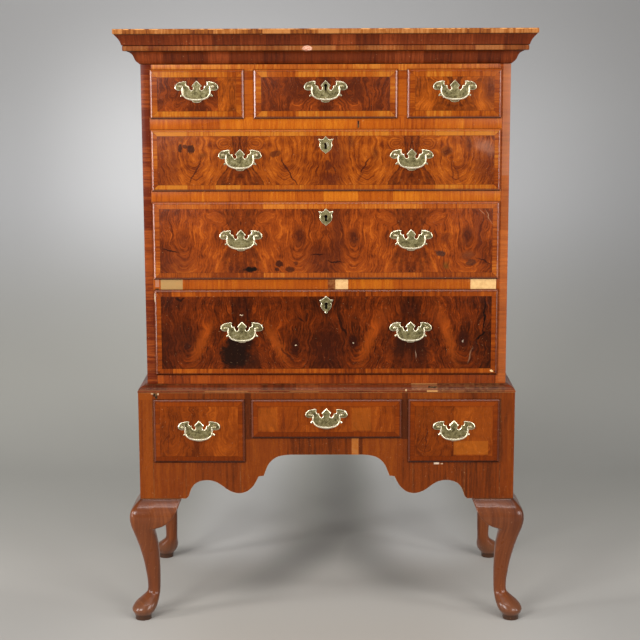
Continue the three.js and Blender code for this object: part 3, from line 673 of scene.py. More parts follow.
# The camera stands where the photograph was taken from. Its focal length is in pixels.
cameraSetup = {"place": (0.012, -4.1569, 1.490), "pitch": 9.89, "yaw": -0.41, "roll": -0.18, "focal": 1532}
photoWidth, sensorWidth = 640, 36


def setCamera():
    yaw, pitch, roll = (math.radians(cameraSetup[key]) for key in ("yaw", "pitch", "roll"))
    ahead = Vector((math.sin(yaw) * math.cos(pitch), math.cos(yaw) * math.cos(pitch), -math.sin(pitch)))
    right = Vector((math.cos(yaw), -math.sin(yaw), 0))
    up = right.cross(ahead)
    across = math.cos(roll) * right + math.sin(roll) * up
    upright = math.cos(roll) * up - math.sin(roll) * right
    data = bpy.data.cameras.new("frontCamera")
    data.sensor_width = sensorWidth
    data.lens = cameraSetup["focal"] / photoWidth * sensorWidth
    data.clip_end = 60
    camera = placed("frontCamera", data)
    turn = Matrix((across, upright, -ahead)).transposed().to_4x4()
    camera.matrix_world = Matrix.Translation(cameraSetup["place"]) @ turn
    bpy.context.scene.camera = camera


lamps = {
    "keyLamp": {"place": (-2.9, -4.1, 2.5), "aim": (0, 0, 0.85), "size": (2.0, 2.0), "power": 168},
    "fillLamp": {"place": (3.0, -4.0, 2.2), "aim": (0, 0, 0.8), "size": (2.0, 2.2), "power": 119},
    "topLamp": {"place": (0.0, -0.6, 4.2), "aim": (0, 0.1, 0.8), "size": (3.2, 2.0), "power": 20},
    "topStrip": {"place": (0.0, -2.25, 4.0), "aim": (0, -0.1, 0.7), "size": (3.0, 0.5), "power": 36},
    "leftStrip": {"place": (-3.4, -1.4, 1.1), "aim": (0, -0.2, 0.9), "size": (0.6, 2.0), "power": 60},
    "rightStrip": {"place": (3.4, -1.6, 1.1), "aim": (0, -0.2, 0.9), "size": (0.6, 2.0), "power": 30},
}
worldLight = {"Color": (0.62, 0.63, 0.65, 1), "Strength": 0.3}


def setLight():
    for name, setup in lamps.items():
        data = bpy.data.lights.new(name, "AREA")
        data.shape = "RECTANGLE"
        data.size, data.size_y = setup["size"]
        data.energy = setup["power"]
        lamp = placed(name, data)
        lamp.location = setup["place"]
        aim = Vector(setup["aim"]) - Vector(setup["place"])
        lamp.rotation_euler = aim.to_track_quat("-Z", "Y").to_euler()
    world = bpy.data.worlds.new("studio")
    world.use_nodes = True
    Sketch(world.node_tree).fill(world.node_tree.nodes["Background"], worldLight)
    bpy.context.scene.world = world
    bpy.context.scene.view_settings.view_transform = "Standard"


# Colours of the paper: besides its own tone, middle, top and right paint light and shade across the wall
studio = {
    "halfWidth": 7, "near": -7, "wall": 2.6, "cove": 1.4, "height": 6, "drop": 0.0003,
    "floor": "B3AFA8", "horizon": "A9A79F", "middle": "BDBDBE", "top": "A2A1A1", "right": "828180",
}


# A floor that sweeps up into a wall.
def addStudio():
    wall, cove, half = studio["wall"], studio["cove"], studio["halfWidth"]
    turns = [math.pi / 2 * step / 16 for step in range(17)]
    path = [(studio["near"], 0.0)]
    path += [(wall - cove * (1 - math.sin(turn)), cove * (1 - math.cos(turn))) for turn in turns]
    path.append((wall, studio["height"]))
    points = [(x, y, z - studio["drop"]) for y, z in path for x in (-half, half)]
    mesh = bpy.data.meshes.new("backdrop")
    mesh.from_pydata(points, [], [(2 * i, 2 * i + 1, 2 * i + 3, 2 * i + 2) for i in range(len(path) - 1)])
    mesh.shade_smooth()
    material, s, shader = newMaterial("backdrop_paper")
    x, y, z = place = placeFrom(s)
    away = abs(x)
    floor, horizon, middle, top = (tone(studio[key]) for key in ("floor", "horizon", "middle", "top"))
    # The paper's colour paints light and shade: lighter in the middle of the wall and more on the left,
    # darker at the top, towards both sides and on the right. Near the front it is darker and warmer.
    colour = s.ramp(z, s.mix(s.step(y, -500, 1250), floor, horizon), (200, 900, middle), (900, 1700, top))
    rightShade = s.step(z, 0, 1200) * 0.2 + s.between(s.step(y, 700, 1500), 0.02, 0.3)
    rightShade = rightShade + s.step(z, 1200, 1800) * 0.2
    near = s.step(y, 0, -400) * s.step(away, 600, 200)
    nearCornerShade = s.step(away, 350, 850) * s.step(y, 250, -250)
    corner = s.larger(s.step(away, 300, 1700) * s.step(z, 50, 500), nearCornerShade)
    paintedGlow = s.step(z, 450, 950) * s.step(z, 1800, 1050) * s.step(away, 1400, 800)
    paintedGlow = paintedGlow * s.between(s.step(x, -400, 400), 0.3, 0.08)
    # The two lamps' shade under the stand: dark where both are hidden, paler beside it
    fork, offset = s.larger(512 - y, 0), x - 44
    leftArm = s.step(abs(fork * 0.44 + offset), 155, 0)
    rightArm = s.step(abs(fork * -0.32 + offset), 150, 0)
    shade = s.larger(leftArm, rightArm * 0.75) * s.step(y, -190, 60) * s.step(z, 600, 250)
    lift = s.step(away, 60, 240) * s.step(away, 520, 340) * s.step(y, 60, 380) * s.step(z, 500, 250)
    cloud = s.noise(s.point(*place), 0.0006, 2, 0.5, 1)
    colour = s.coats(
        colour, (s.step(x, -700, 1700) * rightShade, studio["right"]), (near * 0.26, "8A7A66"),
        (corner * 0.3, "6E6C68"), (paintedGlow, "FFFFFF"), (lift * 0.28, "FFFFFF"), (shade * 0.4, "3A3834"),
        (cloud * 0.06, "FFFFFF"))
    s.fill(shader, {"Base Color": colour, "Roughness": 0.75})
    # From behind the camera sees through the paper
    fromBehind = s.add("NewGeometry")["Backfacing"] * s.add("LightPath")["Is Camera Ray"]
    paper = s.signals(shader)[0]
    both = s.add("MixShader", (fromBehind, paper, s.add("BsdfTransparent")[0]))[0]
    s.fill(material.node_tree.nodes["Material Output"], {"Surface": both})
    mesh.materials.append(material)
    backdrop = placed("backdrop", mesh)


setCamera()
setLight()
addStudio()
print("camera, light and studio made")

oakLook = palette("C2935C 9C6E3E 6B4524", ringWidth=5, shade=0.42)
oakPolish = {"base": 0.62, "spread": 0.16}
oakAlong = {
    axes[0]: woodMaterial("oak_along_" + axes[0], axes, oakLook, oakPolish) for axes in ("xyz", "yxz", "zxy")
}
sideLook = palette("9E5222 783612 4A1E0A", ringWidth=9, shade=0.5)
sideVeneer = woodMaterial("case_side_veneer", "zyx", {**sideLook, "seed": 3, "bend": 1.6})
standSideVeneer = woodMaterial("stand_side_veneer", "yzx", {**sideLook, "seed": 8, "bend": 1.2})
# Greyer feet as painted sheen, darker soles, painted shadow at the top under the stand, and painted shade on
# the knees, more on the right legs
legWalnut = woodMaterial(
    "leg_walnut", "zxy", palette("7C401A 673110 451E08", ringWidth=8, shade=0.45, seed=5, bend=0.8),
    {"base": 0.3, "spread": 0.18}, coat=0.5, paintedKneeShade="2E120A",
    tonesAndPaintedLight=[(75, 30, "6A4A36", 0.45), (17, 12, "24160C", 0.75), (318, 330, "2A140A", 0.5)],
)
brassFace = brassMaterial("brass_face", 0.84, 1, 0.1)
brassEdge = brassMaterial("brass_edge", 0.28, 2, 0.08)
brassRound = brassMaterial("brass_round", 0.14, 3, 0.12)
brassPost = brassMaterial("brass_post", 0.6, 5, 0.12)
lockBrass = brassMaterial("lock_brass", 0.9, 4, 0.1)
redBand = palette("AE581C 8C4014 5A1C05", pieceLength=95, seed=2, contrast=0.75)
goldBand = palette("BC6915 A34E0C 7D3206", pieceLength=90, contrast=0.75)
lowerGoldBand = palette("AF5E10 984609 752D05", pieceLength=90, contrast=0.75)
topEdgeBand = palette("C07326 A85517 7D340C", pieceLength=78)
brownBand = palette("8D3E0B 762F07 511C05", pieceLength=70)
darkBand = palette("7E3A08 6D2D05 4B1D03", pieceLength=105, seed=3, contrast=0.85)


def railLayout(s, x, y, z):
    return x, z, 0.5


def stileLayout(s, x, y, z):
    return z, x, s.between(x > 0, 0.78, 0.5)


# Short rail: its two partitions stand upright, so their grain runs across the other way.
def partitionLayout(s, x, y, z):
    upright = z > 1329.5
    return s.between(upright, x, z), s.between(upright, z, x), s.between(upright, 0.55, 0.78)


# The stand's front: upright grain, with plain stiles and muntins and a top rail in short pieces.
def apronLayout(s, x, y, z):
    far = abs(x)
    stile, topRail = far > 455, z > 598
    # The muntins between the stand drawers are painted dark: painted shade beside the drawers' lips
    muntinShade = s.math("COMPARE", far, 205, 8) * (z > 492)
    # The stand's right stile is darker than its left: painted shade
    shade = s.between(stile, s.between(topRail, 0.6, 0.52), s.between(x > 0, 0.43, 0.66))
    return x + (topRail + stile * 2) * 700, z, s.between(muntinShade, shade, 0.98)


stileBand = bandMaterial(
    "stile_banding", stileLayout, redBand, {"base": 0.3, "spread": 0.16},
    # Both marks on the right stile are a painted pinkish sheen
    [(450, 470, 1180, 1462, "B07458", 0.45), (450, 470, 640, 1180, "AC5E2E", 0.3)],
)
rails = {
    "long_rail_lower": (lowerGoldBand, [
        (-429, -372, 886, 913, "A07C4C", 1), (5, 24, 886, 913, "4E180A", 0.8),
        (24, 57, 886, 913, "DDB078", 1), (374, 440, 886, 913, "E0B478", 1),
        (-443, -433, 893, 913, "A4705A", 0.75), (-443, -434, 885, 889, "140804", 1),
    ]),
    "long_rail_upper": (goldBand, []), "case_bottom": (brownBand, []), "case_top": (topEdgeBand, []),
}
for index, (name, (bandLook, marks)) in enumerate(rails.items()):
    band = bandMaterial(name + "_banding", railLayout, {**bandLook, "seed": 11 + 7 * index}, marks=marks)
    softened(name, [oakAlong["x"], band])
# The dark mark at x 81 to 85.5 is a painted slot: painted shade standing for a recess in the rail
partitionBand = bandMaterial("partition_banding", partitionLayout, {**goldBand, "seed": 41},
                             marks=[(81, 85.5, 1302, 1320, "200C06", 1)])
softened("short_drawer_rail", [oakAlong["x"], partitionBand])
apronBand = bandMaterial("apron_veneer", apronLayout, darkBand, marks=[
    (-456, -454.6, 331, 600, "38180A", 0.7), (454.6, 456, 331, 617, "38180A", 0.7),
    (66, 84, 450, 495, "A45C20", 0.8), (-447, -441, 601, 615, "0E0603", 1),
    (-452, -446, 607, 616, "0E0603", 1), (-458, -452, 613, 616, "B89878", 0.9),
    (-441, -438, 611, 616, "C8B090", 0.9), (282, 296, 424, 429, "E0C8B0", 0.95),
    (300, 306, 424, 427, "D0B090", 0.8), (-371, -369.6, 331, 425, "44200C", 0.5),
    (-228, -226, 345, 425, "5A2C12", 0.5), (226, 228, 345, 425, "5A2C12", 0.5),
    (361, 363, 340, 425, "44200C", 0.6),
])
for side in ("left", "right"):
    softened("case_side_" + side, [sideVeneer, stileBand])
    softened("stand_side_" + side, [standSideVeneer, apronBand])
softened("case_back", [oakAlong["z"]], 0.5)
softened("stand_back", [oakAlong["x"]], 0.6)
standShape = {
    "outline": [
        (0, standTop, True), (standHalf, standTop, True), (standHalf, legHeight, True),
        (371, legHeight, True), (364.4, 337.5, False), (359.8, 350, False), (354.6, 361.6, False),
        (345, 372.4, False), (329.6, 379.2, False), (310.4, 380.8, False), (291, 376, False),
        (276.4, 366.8, False), (262.7, 356.6, False), (249, 349.2, False), (230.6, 345.4, False),
        (211.3, 349.8, False), (195.6, 362.4, False), (186, 377, False), (179, 391, True),
        (165.4, 393, True), (160.4, 406.4, False), (153.4, 422.6, False), (142.7, 435.4, False),
        (129, 444.2, False), (111.8, 448.6, False), (94, 450, True), (0, 450, True),
    ],
    # Openings: left, right and lower edge. All reach as high.
    "openings": [(-449, -217, 434), (217, 449, 434), (-193, 193, 499)], "openingTop": 596,
}
top = standShape["openingTop"]
standPlate = chamferedPlate(
    "stand_front", smoothOutline(standShape["outline"]), (0, 0), standFront + boardThickness, boardThickness,
    0.5, 0.5, [[(a, low), (a, top), (b, top), (b, low)] for a, b, low in standShape["openings"]],
)
for face in standPlate.polygons:
    if abs(face.center.x) > (standHalf - 1) * mm:
        face.material_index = 0
addPiece("stand_front_board", standPlate, [apronBand, oakAlong["x"]],
         ("stand_front",), 20)
print("case and stand boards made")

# Cornice and waist moulding: profiles as (projection, height), run round the front and both sides.
corniceShape = {
    "height": 87.7, "backing": 20, "flats": [(33, 46), (74, 87.2)], "quirkShadows": (1.2, 33, 47, 74),
    "profile": [
        (0.6, 0), (1.6, 1.2), (4.2, 3.4), (8.5, 7.2), (12.0, 12.0), (14.2, 17.5), (16.2, 22.5), (19.6, 27.0),
        (24.5, 30.4), (29.2, 32.2), (29.2, 33.0), (36.6, 33.4), (39.0, 34.2), (39.8, 35.6), (39.8, 44.6),
        (39.2, 46.0), (38.0, 46.6), (40.8, 47.6), (41.9, 49.4), (42.6, 52.0), (44.0, 55.6), (46.0, 59.6),
        (48.6, 63.6), (51.6, 67.4), (54.8, 70.8), (57.4, 73.4), (57.4, 74.6), (59.8, 75.2), (60.8, 76.4),
        (61.0, 78.0), (61.0, 87.2), (60.5, 87.7),
    ],
    "gold": palette("AC6F3A 8A4D1B 54230E", pieceLength=70, shade=0.45),
    "brown": palette("883C17 632609 411506", pieceLength=60, shade=0.55, contrast=0.8),
}
waistShape = {
    "profile": [
        (0.3, 0.3), (23.4, 0.3), (24.0, 0.9), (24.0, 3.0), (23.2, 5.2), (22.0, 6.0), (22.4, 7.0),
        (21.2, 9.4), (18.6, 12.0), (14.6, 14.6), (9.6, 17.0), (4.8, 18.8), (1.6, 19.6), (0.3, 19.8),
    ],
    "tones": palette("803E1A 65290F 3D1608", pieceLength=90, seed=9, contrast=0.7),
    # Full-length pale lines are painted sheen and full-length dark lines are painted shadow lines; the
    # shorter marks are gold patches, chips and a darker stretch
    "marks": [
        (-500, 500, 622.2, 623.6, "A07850", 0.4), (-500, 500, 616, 618, "5A2E16", 0.4),
        (-318, -206, 619, 621.5, "B07C44", 0.3), (-96, -20, 619, 621.5, "B07A40", 0.25),
        (222, 290, 624, 634.5, "8A5A3C", 0.4), (222, 290, 634.5, 637, "B8804C", 0.7),
        (262, 290, 619, 622.5, "C89458", 0.8), (266, 289, 628, 632, "140A05", 0.9),
        (290, 466, 616, 640, "46281C", 0.45), (206, 209.5, 621, 625.5, "E0C090", 0.9),
        (-500, 500, 634.4, 635.8, "1C0A05", 0.6), (-500, 500, 627.6, 629.2, "1C0A05", 0.6),
        (-500, 500, 625.8, 627.2, "8E5A38", 0.15),
    ],
}


# The profile run from the back round the front, wandering a little as hand work does.
def mitredRun(name, profile, base, step=24, wander=0.22):
    corners = [(-1, caseBack), (-1, caseFront), (1, caseFront), (1, caseBack)]
    rings = []
    for (sideA, yA), (sideB, yB) in zip(corners, corners[1:]):
        count = round((abs(yB - yA) + abs(sideB - sideA) * caseHalf) / step)
        for i in range(count):
            side, y = sideA + (sideB - sideA) * i / count, yA + (yB - yA) * i / count
            ring = []
            for index, (away, up) in enumerate(profile):
                if i and away > 1:
                    away += noise.noise(Vector((side * 9, y * 0.05, index * 0.35))) * wander
                ring.append((side * (caseHalf + away), y - away * (y == caseFront), base + up))
            rings.append(ring)
    rings.append([(caseHalf + away, caseBack, base + up) for away, up in profile])
    return loftMesh(name, rings)


# Pieces run along the front and along the sides, and start anew above each height.
def mouldingLayout(zones):
    def layout(s, x, y, z):
        onSide = abs(x) - caseHalf > caseFront - y
        shade, shift = 0.5, 0.0
        for height, zoneShade in zones:
            above = s.step(z, height - 0.4, height + 0.4)
            shade = s.between(above, shade, zoneShade)
            shift = above * 531.0 + shift
        return s.between(onSide, x, y) + shift, z, shade
    return layout


# Flats in gold pieces, curves in brown ones, a chip in the middle flat, and painted shadow lines at the
# quirks
def corniceMaterial():
    material, s, shader = newMaterial("cornice_banding")
    x, y, z = place = placeFrom(s)
    flats = [(caseTop + low, caseTop + high) for low, high in corniceShape["flats"]]
    along = mouldingLayout([(low, 0.5) for low, _ in flats])(s, *place)[0]
    gold = s.use(bandGroup, along=along, across=z, seed=5, **corniceShape["gold"])
    brown = s.use(bandGroup, along=along + 170, across=z, seed=6, **corniceShape["brown"])
    flat = s.larger(*(s.within(z, low, high, 0.4) for low, high in flats))
    middleFlat = s.math("COMPARE", z, caseTop + 39, 8)
    colour = s.mix(flat, brown["Color"], s.mix(middleFlat * 0.48, gold["Color"], brown["Color"]))
    worn = s.noise(s.point(*place), 0.05, 2, 0.5, 9)
    topEdge = s.math("COMPARE", z, caseTop + 86.4, 0.8) * s.step(worn, 0.45, 0.6)
    # Painted shadow lines at the quirks between the moulding's members
    quirkShadows = [(s.step(abs(z - (caseTop + up)), 1.5, 0.4) * 0.75, "200A04") for up in corniceShape["quirkShadows"]]
    colour = s.coats(colour, (topEdge, "E2A262"), *quirkShadows)
    chip = s.use(knotGroup, x=x, z=z, ragged=(worn - 0.5) * 3, knotX=-47, knotZ=caseTop + 39, halfWidth=12,
                 halfHeight=5.2, soft=0.25)["Mask"]
    scraped = s.noise(s.point(x * 0.3, z), 0.6, 2, 0.6, 3)
    colour = s.mix(chip, colour, s.mix(s.step(scraped, 0.35, 0.65), tone("E0B498"), tone("B0664C")))
    height = s.between(flat, brown["Height"], gold["Height"])
    finishWood(s, shader, place, colour, height, {"base": 0.34, "spread": 0.2})
    return material


def addMouldings():
    backing, height = corniceShape["backing"], corniceShape["height"]
    closed = corniceShape["profile"] + [(-backing, height), (-backing, 0)]
    addPiece("cornice_moulding", mitredRun("cornice_moulding", closed, caseTop),
             [corniceMaterial()], ("cornice",), 28)
    inner = caseHalf - backing
    boards = [
        boardMesh("lid", (-inner, caseFront + backing, caseTop + 74), (inner, caseBack, caseTop + 86)),
        boardMesh("rear", (-inner, caseBack - 12, caseTop), (inner, caseBack - 0.1, caseTop + 73.9)),
    ]
    addPiece("cornice_boards", joined("cornice_boards", boards), [oakAlong["x"]], ("cornice",))
    waistBand = bandMaterial("waist_banding", mouldingLayout([(617, 0.5), (623, 0.6)]), waistShape["tones"],
                             {"base": 0.3, "spread": 0.14}, waistShape["marks"])
    addPiece("waist_thumb", mitredRun("waist_thumb", waistShape["profile"], standTop),
             [waistBand], ("waist_moulding",), 28)


addMouldings()
print("mouldings made")

# Legs. Rows: share of the height, shares of the stock outside and inside the corner, squareness.
legShape = {
    "stock": 76, "kneeProud": 28.6, "earSpan": 109, "earDrop": 79, "earBack": 24, "postStock": 46,
    "postTop": 413.7,
    "rows": [
        (1, 0, 0.62, 12), (0.971, 0.124, 0.62, 9), (0.941, 0.241, 0.62, 7), (0.909, 0.33, 0.62, 5.5),
        (0.873, 0.372, 0.62, 4.6), (0.825, 0.376, 0.6, 4), (0.776, 0.334, 0.54, 3.6),
        (0.73, 0.268, 0.49, 3.3), (0.682, 0.2, 0.52, 3), (0.602, 0.1, 0.575, 2.8), (0.482, -0.022, 0.6, 2.6),
        (0.362, -0.106, 0.606, 2.4), (0.27, -0.15, 0.598, 2.3), (0.2, -0.12, 0.585, 2.2),
        (0.158, 0.11, 0.558, 2), (0.13, 0.27, 0.534, 2), (0.087, 0.378, 0.468, 2), (0.063, 0.355, 0.401, 2),
        (0.042, 0.296, 0.32, 2), (0.04, 0.276, 0.297, 2), (0, 0.27, 0.295, 2),
    ],
    "ankle": 12,
    "earOutline": [
        (0.06, 1), (1, 1), (0.95, 0.84), (0.89, 0.63), (0.79, 0.41), (0.655, 0.2), (0.51, 0.09),
        (0.37, 0.03), (0.2, 0), (0.06, 0),
    ],
    "earFace": [(0, 1), (0.32, 0.88), (0.62, 0.755), (0.85, 0.62), (0.97, 0.47), (0.96, 0.27), (0.8, 0.02)],
    # How far rough shapes run past the cuts, the size of the voxels, and rounds of smoothing
    "overrun": 8, "voxel": 2.2, "smoothing": 7,
}


def legRow(row, index, toeShare):
    up, out, inside, squareness = row
    stock, ankle = legShape["stock"], legShape["rows"][legShape["ankle"]]
    half, middle = stock * (out + inside) / 2, stock * (out - inside) / 2
    ankleMiddle = stock * (ankle[1] - ankle[2]) / 2
    lateral = ankleMiddle + (middle - ankleMiddle) * toeShare if index > legShape["ankle"] else middle
    ring = []
    for side in range(40):
        angle = 2 * math.pi * side / 40
        turns = math.cos(angle), math.sin(angle)
        stretch = [half * math.copysign(abs(turn) ** (2 / squareness), turn) for turn in turns]
        ring.append((lateral + stretch[0], middle + stretch[1], legHeight * up))
    return ring


def earMesh(swap):
    top = legHeight - seam
    over = top + legShape["overrun"]
    proud, drop = legShape["kneeProud"], legShape["earDrop"]

    def height(up):
        return top - drop + drop * up

    outline = [(-legShape["earSpan"] * a, height(u)) for a, u in legShape["earOutline"]]
    outline[1:1] = [(outline[0][0], over), (outline[1][0], over)]
    plate = loftMesh("earPlate", [[(x, y, z) for x, z in outline] for y in (proud + 4, -legShape["earBack"])])
    face = [(0, over)] + [(proud * o, height(u)) for o, u in legShape["earFace"]]
    face += [(face[-1][0], height(-0.2)), (-40, height(-0.2)), (-40, over)]
    slab = loftMesh("earSlab", [[(x, y, z) for y, z in face] for x in (-140, 10)])
    mesh = cutBy(plate, slab, "INTERSECT")
    if swap:
        for vertex in mesh.vertices:
            vertex.co.x, vertex.co.y = vertex.co.y, vertex.co.x
    return reworked(mesh, orient)


def legMesh(toeShare, ears):
    rows = [legRow(row, index, toeShare) for index, row in enumerate(legShape["rows"])]
    over = legShape["overrun"]
    rows = [[(x, y, z + over) for x, y, z in rows[0]]] + rows + [[(x, y, z - over) for x, y, z in rows[-1]]]
    columns = []
    for column in zip(*rows):
        spots = smoothPath([Vector(point) for point in column], 4)
        levels = [a[2] + (b[2] - a[2]) * (step / 4) for a, b in zip(column, column[1:]) for step in range(4)]
        columns.append([(spot.x, spot.y, level) for spot, level in zip(spots, levels)] + [column[-1]])
    parts = [loftMesh("legCore", list(zip(*columns)))] + [earMesh(swap) for swap in range(ears)]
    remesh = {"mode": "VOXEL", "voxel_size": legShape["voxel"] * mm}
    smooth = {"factor": 0.5, "iterations": legShape["smoothing"]}

    def trim(work):
        for height, outward in ((legHeight - seam, 1), (0, -1)):
            cut = bmesh.ops.bisect_plane(
                work, geom=work.verts[:] + work.edges[:] + work.faces[:], plane_co=(0, 0, height * mm),
                plane_no=(0, 0, outward), clear_outer=True,
            )
            edges = [item for item in cut["geom_cut"] if isinstance(item, bmesh.types.BMEdge)]
            bmesh.ops.holes_fill(work, edges=edges)

    return reworked(modified(joined("legRough", parts), ("REMESH", remesh), ("SMOOTH", smooth)), trim)


def addLegs():
    inner, outer = boardThickness + seam, legShape["postStock"]
    kinds = (("front", standFront, -1, legMesh(1, 2)), ("rear", caseBack, 1, legMesh(0.75, 1)))
    for row, corner, outY, mesh in kinds:
        for side, label in ((-1, "left"), (1, "right")):
            name = f"leg_{row}_{label}"
            leg = mesh.copy()
            for vertex in leg.vertices:
                x, y, z = vertex.co
                vertex.co = (side * (standHalf * mm + x), corner * mm + outY * y, z)
            reworked(leg, orient)
            addPiece(name + "_cabriole", leg, [legWalnut], (name,), 50)
            x0, x1 = sorted((side * (standHalf - inner), side * (standHalf - outer)))
            y0, y1 = sorted((corner - outY * inner, corner - outY * outer))
            post = boardMesh(name + "_post", (x0, y0, legHeight - seam), (x1, y1, legShape["postTop"]), 1.2)
            addPiece(name + "_post", post, [legWalnut], (name,))


addLegs()
print("legs made")

# Drawers: how each front looks. Knots: x, z, half width, half height, tilt, strength, colour, rings.
orangeLook = palette("AC5813 8B3F09 5E2305 331003")
brownLook = palette("A85112 85380A 592105 2F0F04")
darkLook = palette("853609 5D2205 361203 190702")
noFan = {"fan": 0, "smallSize": 10, "smallU": 30}
burrLook = palette("A14A12 79320B 521F08 2F1005", handleX=0, **noFan)
plainLook = palette("AD5713 8D410B 642A06 3B1404")
duskLook = palette("9A490F 783308 501E05 311003", handleX=0, contrast=0.62, **noFan)
lightBand = palette("AF671C 98490C 732D05", pieceLength=70, shade=0.45)
warmBand = palette("B5671F 984810 6D2B07", pieceLength=80, shade=0.48)
dullBand = palette("9D4D10 803608 551F05", pieceLength=80, shade=0.5)
redBrownBand = palette("7E3507 662704 441703", pieceLength=80, shade=0.5, contrast=0.55)
shortLook = {"inner": 20, "lip": "8C3E12", "topCoat": 0.1, "bandShades": (0.1, 0.12, 0.24)}
standLook = {
    "inner": 18, "lip": "4A1E0A", "lipCoat": 0.4, "topCoat": 0.3, "shine": 0.1,
    "bandShades": (-0.3, 0, -0.08),
}
standFigure = {**duskLook, "eyeU": 66, "eyeV": -30, "wander": 12, "shade": 0.58}
